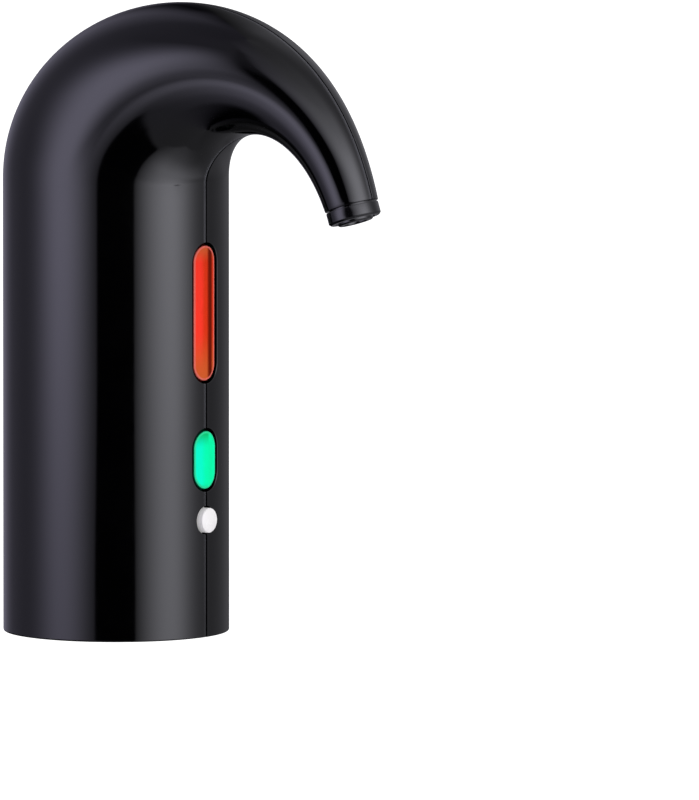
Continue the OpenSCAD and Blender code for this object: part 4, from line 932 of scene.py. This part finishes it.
# On both keys the border tone is a painted highlight and the side tone is painted shade
lens("pour_lens", POUR, border=0.28, glow=0.05, top_start=0.72, foot_start=0.2,
     Bright=(0.94, 0.04, 0.02), Mid=(0.67, 0.033, 0.006), Shade=(0.14, 0.006, 0.0), Top=(0.58, 0.1, 0.025),
     Foot=(0.58, 0.1, 0.02), Rim=(0.74, 0.15, 0.11), Side=(0.05, 0.004, 0.003))
lens("aerate_lens", AERATE, border=0.0, glow=0.01, top_start=0.4, foot_start=0.75,
     Bright=(0.002, 0.96, 0.55), Mid=(0.001, 0.97, 0.4), Shade=(0.002, 0.94, 0.36), Top=(0.004, 0.5, 0.13),
     Foot=(0.004, 0.76, 0.28), Rim=(0.03, 0.7, 0.3), Side=(0.001, 0.045, 0.022))
# The white key glows a little: painted light that brightens it, though it is no lamp
plastic("power_white", (0.67, 0.65, 0.605), (0.69, 0.67, 0.625), 0.2, 0.3, 0.05,
        Emission_Color=(1, 1, 1, 1), Emission_Strength=0.22)
plastic("switch_plastic", (0.02, 0.02, 0.022), (0.04, 0.04, 0.042), 0.35, 0.5, 0.3)
plastic("lamp_resin", (0.75, 0.66, 0.35), (0.85, 0.8, 0.55), 0.1, 0.2, 0.1)
board_mask("board_green", (0.01, 0.1, 0.035), (0.03, 0.17, 0.06))
plastic("frame_plastic", (0.02, 0.02, 0.024), (0.035, 0.035, 0.04), 0.4, 0.55, 0.4)
metal("screw_steel", (0.5, 0.5, 0.52), (0.66, 0.66, 0.68), 0.22, 0.36, (1, 1, 1))
plastic("pump_plastic", (0.68, 0.68, 0.65), (0.76, 0.76, 0.73), 0.35, 0.5, 0.3)
metal("tube_steel", (0.55, 0.55, 0.57), (0.7, 0.7, 0.72), 0.16, 0.3)
plastic("hose_silicone", (0.42, 0.4, 0.39), (0.52, 0.5, 0.49), 0.3, 0.45, 0.2)
metal("motor_steel", (0.45, 0.45, 0.47), (0.6, 0.6, 0.62), 0.25, 0.4)
metal("rotor_copper", (0.5, 0.2, 0.08), (0.75, 0.34, 0.16), 0.25, 0.4, (1, 1, 0.2))
plastic("diaphragm_rubber", (0.02, 0.02, 0.022), (0.035, 0.035, 0.04), 0.5, 0.65, 0.4)
plastic("cell_sleeve", (0.03, 0.13, 0.38), (0.05, 0.18, 0.48), 0.25, 0.4, 0.15)
metal("contact_nickel", (0.58, 0.55, 0.5), (0.74, 0.71, 0.66), 0.18, 0.3, (0.05, 1, 1))
plastic("wire_insulation", (0.4, 0.03, 0.02), (0.52, 0.05, 0.03), 0.35, 0.5, 0.2)

NODE_SLOTS = {
    "switch_plastic": ["pour_plunger", "aerate_plunger", "power_plunger", "key_switches", "control_chip"],
    "lamp_resin": ["key_lamps"],
    "board_green": ["circuit_board", "charging_board"],
    "frame_plastic": ["inner_frame"],
    "screw_steel": ["board_screws", "frame_screws", "pump_screws", "charging_screws"],
    "pump_plastic": ["stopper_core", "tube_cap", "check_valve", "motor_end_cap", "pump_crank", "pump_base",
                     "pump_rocker", "valve_plate", "pump_cover"],
    "hose_silicone": ["wine_tube", "air_hose", "stopper_hose"],
    "motor_steel": ["motor_can", "motor_magnets"],
    "rotor_copper": ["motor_rotor"],
    "diaphragm_rubber": ["pump_diaphragm"],
    "cell_sleeve": ["battery_cell"],
    "contact_nickel": ["battery_tabs"],
    "wire_insulation": ["battery_wires", "motor_wires", "charging_wires"],
}
for slot, names in NODE_SLOTS.items():
    for node in names:
        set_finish(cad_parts[node], slot)
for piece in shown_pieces():
    piece.data.materials.clear()
    piece.data.materials.append(FINISHES[piece["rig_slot"]])


# Camera, with its distances in metres
CAMERA_AZ, CAMERA_EL = math.radians(36.7), math.radians(6.05)
CAMERA_FAR, CLIP_FAR = 8.0, 30
FRAME_H, SENSOR = 205.4, 36
AIM_RIGHT, AIM_UP = 59.87, 58.98
flat = math.cos(CAMERA_EL)
back = Vector((math.sin(CAMERA_AZ) * flat, -math.cos(CAMERA_AZ) * flat, math.sin(CAMERA_EL)))
right = Vector((math.cos(CAMERA_AZ), math.sin(CAMERA_AZ), 0))
up = back.cross(right)
camera_data = bpy.data.cameras.new("photo_camera")
camera_data.sensor_fit = "VERTICAL"
camera_data.sensor_height = SENSOR
camera_data.lens = SENSOR * CAMERA_FAR / (FRAME_H * MM)
camera_data.clip_end = CLIP_FAR
camera = add_object("photo_camera", camera_data)
camera.rotation_mode = "QUATERNION"
camera.location = Vector((0, 0, BASE_Z * MM)) + right * AIM_RIGHT * MM + up * AIM_UP * MM + back * CAMERA_FAR
camera.rotation_quaternion = (-back).to_track_quat("-Z", "Y")
bpy.context.scene.camera = camera

# The photo's gloss shows no image of the keys or of the spout's end
for piece in (pour_key, aerate_key, power_key, collar, nozzle):
    piece.visible_glossy = False

# Studio: a dome of light round the object, laid out by angles from the camera, in degrees right and up
STUDIO_MID = np.array([20.0, 0.0, 60.0])
DOME_FAR = 700.0
LAMP = 0.8
LEFT_TINT = np.array([0.97, 0.925, 1.22])
RIGHT_TINT = np.array([0.97, 0.965, 1.06])


def studio_point(az, el):
    a, e = math.radians(az) + CAMERA_AZ, math.radians(el)
    out = np.array([math.sin(a) * math.cos(e), -math.cos(a) * math.cos(e), math.sin(e)])
    return STUDIO_MID + DOME_FAR * out


def ease(x, start, full):
    t = np.clip((x - start) / (full - start), 0, 1)
    return t * t * (3 - 2 * t)


def bell(x, mid, width):
    return np.exp(-((x - mid) / width) ** 2)


def rise(x, start, full, power):
    return np.sin(np.pi / 2 * np.clip((x - start) / (full - start), 0, 1) ** power)


def blend(first, second, share):
    return first + (second - first) * share


def dip(el):
    """Share of the level of the lower body, where the dark gap is wider."""
    return ease(-el, 7, 12)


def right_edge(el):
    """Inner edge of the right softbox, which leans over the camera."""
    return np.interp(el, [-5, 3, 20, 25, 30, 35, 45, 60, 65, 70, 80, 90],
                     [17.5, -2, -3.5, -12, -18, -21, -25, -27, -31, -36, -55, -60])


def right_softbox(az, el):
    """Large softbox at the right, brightest at the level of the hook, with its foot near the floor."""
    edge = right_edge(el)
    peak = np.interp(el, [-66, -60, -50, -40, -30, -20, -10, -4, 15, 25, 30, 35, 40, 45, 50, 60, 70, 80],
                     [0.2, 0.28, 0.55, 1.1, 1.7, 1.95, 2.5, 3.1, 3.55, 3.25, 2.85, 2.15, 1.55, 1.2, 0.76,
                      0.34, 0.12, 0])
    low_side = rise(az, 17 + dip(el), np.interp(el, [-30, -8], [50, 57]), 1.15 + 0.1 * dip(el))
    low_side *= np.where(az > 57, bell(az, 57, np.interp(el, [-25, -15], [33, 23.5])), 1)
    steep = np.interp(el, [10, 25, 32, 40], [1.1, 1.4, 1.3, 0.9])
    high_side = rise(az, edge, 47, steep) * np.where(az > 50, bell(az, 50, 26), 1)
    foot = np.interp(az, [15, 25, 40, 55, 100], [-44, -51, -60, -66.5, -64])
    lit = peak * blend(low_side, high_side, ease(el, -3, 8)) * ease(el, foot - 0.7, foot + 0.7)
    return np.where(az > edge, lit, 0)


def left_softbox(az, el):
    """Smaller softbox at the left, whose inner edge stands further in at the level of the body."""
    peak = np.interp(el, [-42, -30, -25, -20, -15, -10, -4, 30, 35, 40, 45, 50, 56],
                     [0, 0.26, 0.45, 0.8, 1.05, 1.4, 2.05, 2.1, 1.95, 1.5, 0.88, 0.36, 0])
    inner = rise(-az, 20 + 2.5 * dip(el) + 13 * ease(el, -1, 6), np.interp(el, [0, 6], [56, 53]),
                 np.interp(el, [-4, 2, 14, 22], [1.3, 1.5, 1.5, 1.05]))
    return peak * inner * np.where(az < -58, bell(az, -58, np.interp(el, [10, 28], [24, 30])), 1)


def dark_gap(az, el):
    """Share of the dark gap in front of the camera, between the softboxes."""
    edge = right_edge(el)
    high = ease(az, -34, -31) * (1 - ease(az, edge - 0.8, edge + 0.8))
    low = ease(az + 2.5 * dip(el), -21.5, -19) * (1 - ease(az - dip(el), 16.8, 18.6))
    foot = np.interp(az, [-22, -10, 0, 16], [-15, -27, -33, -40])
    gap = np.where(el < 4, np.maximum(high * ease(el, 0, 4), low), high)
    return gap * ease(el, foot - 2, foot + 2) * np.interp(el, [32, 40, 50, 70, 82], [1, 0.6, 0.4, 0.25, 0])


def studio_walls(az, el):
    """Dim walls, ceiling and floor of the studio, with a dark doorway behind the object."""
    edge = right_edge(el)
    low_right = np.interp(az, [20, 100, 112, 150, 165, 175, 180], [0.35, 0.36, 0.26, 0.23, 0.14, 0.2, 0.3])
    high_right = np.interp(az, [20, 100, 115, 138, 155, 168, 180], [0.42, 0.42, 0.46, 0.54, 0.52, 0.26, 0.08])
    right_wall = blend(low_right, high_right, ease(el, -6, 10))
    left_wall = np.interp(-az, [20, 110, 130, 150, 160, 172, 180], [0.28, 0.26, 0.25, 0.36, 0.36, 0.18, 0.08])
    wall = blend(left_wall, right_wall, ease(az, edge - 1, edge + 8))
    ceiling = np.interp(az, [-180, -110, -50, 0, 60, 120, 180], [0.22, 0.22, 0.22, 0.38, 0.42, 0.38, 0.22])
    ground = 0.27 * ease(az, -75, -12 + 0.6 * np.clip(-50 - el, 0, 30)) * (1 - 0.2 * ease(az, 60, 130))
    wall = blend(blend(wall, ceiling, ease(el, 62, 82)), ground, 1 - ease(el, -48, -36))
    wall = wall * (1 - (1 - ease(el, -22, -13)) * (1 - ease(az, -125, -105)))
    doorway = bell((az + 356) % 360 - 180, 0, 7) * ease(el, 14, 26) * (1 - ease(el, 42, 60))
    return wall * (1 - 0.9 * doorway)


def studio_light(az, el):
    return studio_walls(az, el) * (1 - dark_gap(az, el)) + right_softbox(az, el) + left_softbox(az, el)


def bare_material(name):
    """Material without nodes, and its node tree."""
    material = bpy.data.materials.new(name)
    material.use_nodes = True
    material.node_tree.nodes.clear()
    return material, material.node_tree


def dome_material():
    """Lamp whose strength and colour come from the dome's points."""
    material, tree = bare_material("studio_dome")
    glow = tree.nodes.new("ShaderNodeAttribute")
    glow.attribute_name = "glow"
    tint = tree.nodes.new("ShaderNodeAttribute")
    tint.attribute_name = "tint"
    lamp = tree.nodes.new("ShaderNodeEmission")
    out = tree.nodes.new("ShaderNodeOutputMaterial")
    tree.links.new(tint.outputs["Vector"], lamp.inputs["Color"])
    tree.links.new(glow.outputs["Fac"], lamp.inputs["Strength"])
    tree.links.new(lamp.outputs["Emission"], out.inputs["Surface"])
    return material


azimuths = np.concatenate([np.arange(-180, -40, 4), np.arange(-40, 40, 1.0), np.arange(40, 181, 4)])
elevations = np.concatenate([np.arange(-90, -68, 4), np.arange(-68, 60, 1.25), np.arange(60, 91, 3)])
all_az, all_el = (grid.ravel() for grid in np.meshgrid(azimuths, elevations))
dome_points = [tuple(studio_point(az, el) * MM) for az, el in zip(all_az, all_el)]
dome_glow = LAMP * studio_light(all_az, all_el)
dome_tint = blend(LEFT_TINT, RIGHT_TINT, ease(all_az, -60, 20)[:, None])
count = len(azimuths)
dome_mesh = bpy.data.meshes.new("studio_dome")
dome_mesh.from_pydata(dome_points, [], [
    [j * count + i, j * count + i + 1, (j + 1) * count + i + 1, (j + 1) * count + i]
    for j in range(len(elevations) - 1) for i in range(count - 1)])
glows = dome_mesh.attributes.new("glow", "FLOAT", "POINT")
glows.data.foreach_set("value", dome_glow.astype(np.float32))
tints = dome_mesh.attributes.new("tint", "FLOAT_VECTOR", "POINT")
tints.data.foreach_set("vector", dome_tint.astype(np.float32).ravel())
dome_mesh.materials.append(dome_material())
studio_dome = add_object("studio_dome", dome_mesh)
studio_dome.visible_camera = False

# Floor: the white table under the bottle, which the dip tube nearly reaches, with the object's soft shadow
BOTTLE_H = 300.0
FLOOR_HALF = 4000.0
SHADE_REACH, SHADE_END = 100.0, 300.0
LIFT_NEAR, LIFT_FAR = 0.6, 1.0


def floor_material():
    """Matt white with the object's shadow, lifted where the camera sees it, and to full white farther out."""
    material, tree = bare_material("studio_floor")
    matt = tree.nodes.new("ShaderNodeBsdfDiffuse")
    matt.inputs["Color"].default_value = (0.8, 0.8, 0.8, 1)
    lift = tree.nodes.new("ShaderNodeEmission")
    seen = tree.nodes.new("ShaderNodeLightPath").outputs["Is Camera Ray"]
    from_axis = tree.nodes.new("ShaderNodeVectorMath")
    from_axis.operation = "LENGTH"
    tree.links.new(object_vector(tree), from_axis.inputs[0])
    level = set_range(tree, from_axis.outputs["Value"], SHADE_REACH * MM, SHADE_END * MM, LIFT_NEAR, LIFT_FAR,
                      "SMOOTHSTEP")
    tree.links.new(number(tree, "MULTIPLY", seen, level), lift.inputs["Strength"])
    both = tree.nodes.new("ShaderNodeAddShader")
    out = tree.nodes.new("ShaderNodeOutputMaterial")
    tree.links.new(matt.outputs["BSDF"], both.inputs[0])
    tree.links.new(lift.outputs["Emission"], both.inputs[1])
    tree.links.new(both.outputs["Shader"], out.inputs["Surface"])
    return material


floor_mesh = bpy.data.meshes.new("studio_floor")
floor_mesh.from_pydata([(s * FLOOR_HALF * MM, t * FLOOR_HALF * MM, 0) for s, t in SQUARE], [], [[0, 1, 2, 3]])
floor_mesh.materials.append(floor_material())
floor = add_object("studio_floor", floor_mesh)
floor.location.z = -BOTTLE_H * MM
floor.visible_glossy = floor.visible_shadow = False

# World: white where it is seen, in reflections and through clear pieces, and a plain ambient light elsewhere
AMBIENT = 0.35
world = bpy.data.worlds.new("studio_world")
bpy.context.scene.world = world
world.use_nodes = True
world_tree = world.node_tree
path = world_tree.nodes.new("ShaderNodeLightPath")
seen_white = number(world_tree, "MAXIMUM", path.outputs["Is Camera Ray"], path.outputs["Is Glossy Ray"])
seen_white = number(world_tree, "MAXIMUM", seen_white, path.outputs["Is Transmission Ray"])
background = world_tree.nodes["Background"].inputs
background["Color"].default_value = (1, 1, 1, 1)
world_tree.links.new(set_range(world_tree, seen_white, 0.0, 1.0, AMBIENT, 1.0), background["Strength"])

bpy.context.scene.view_settings.view_transform = "Standard"
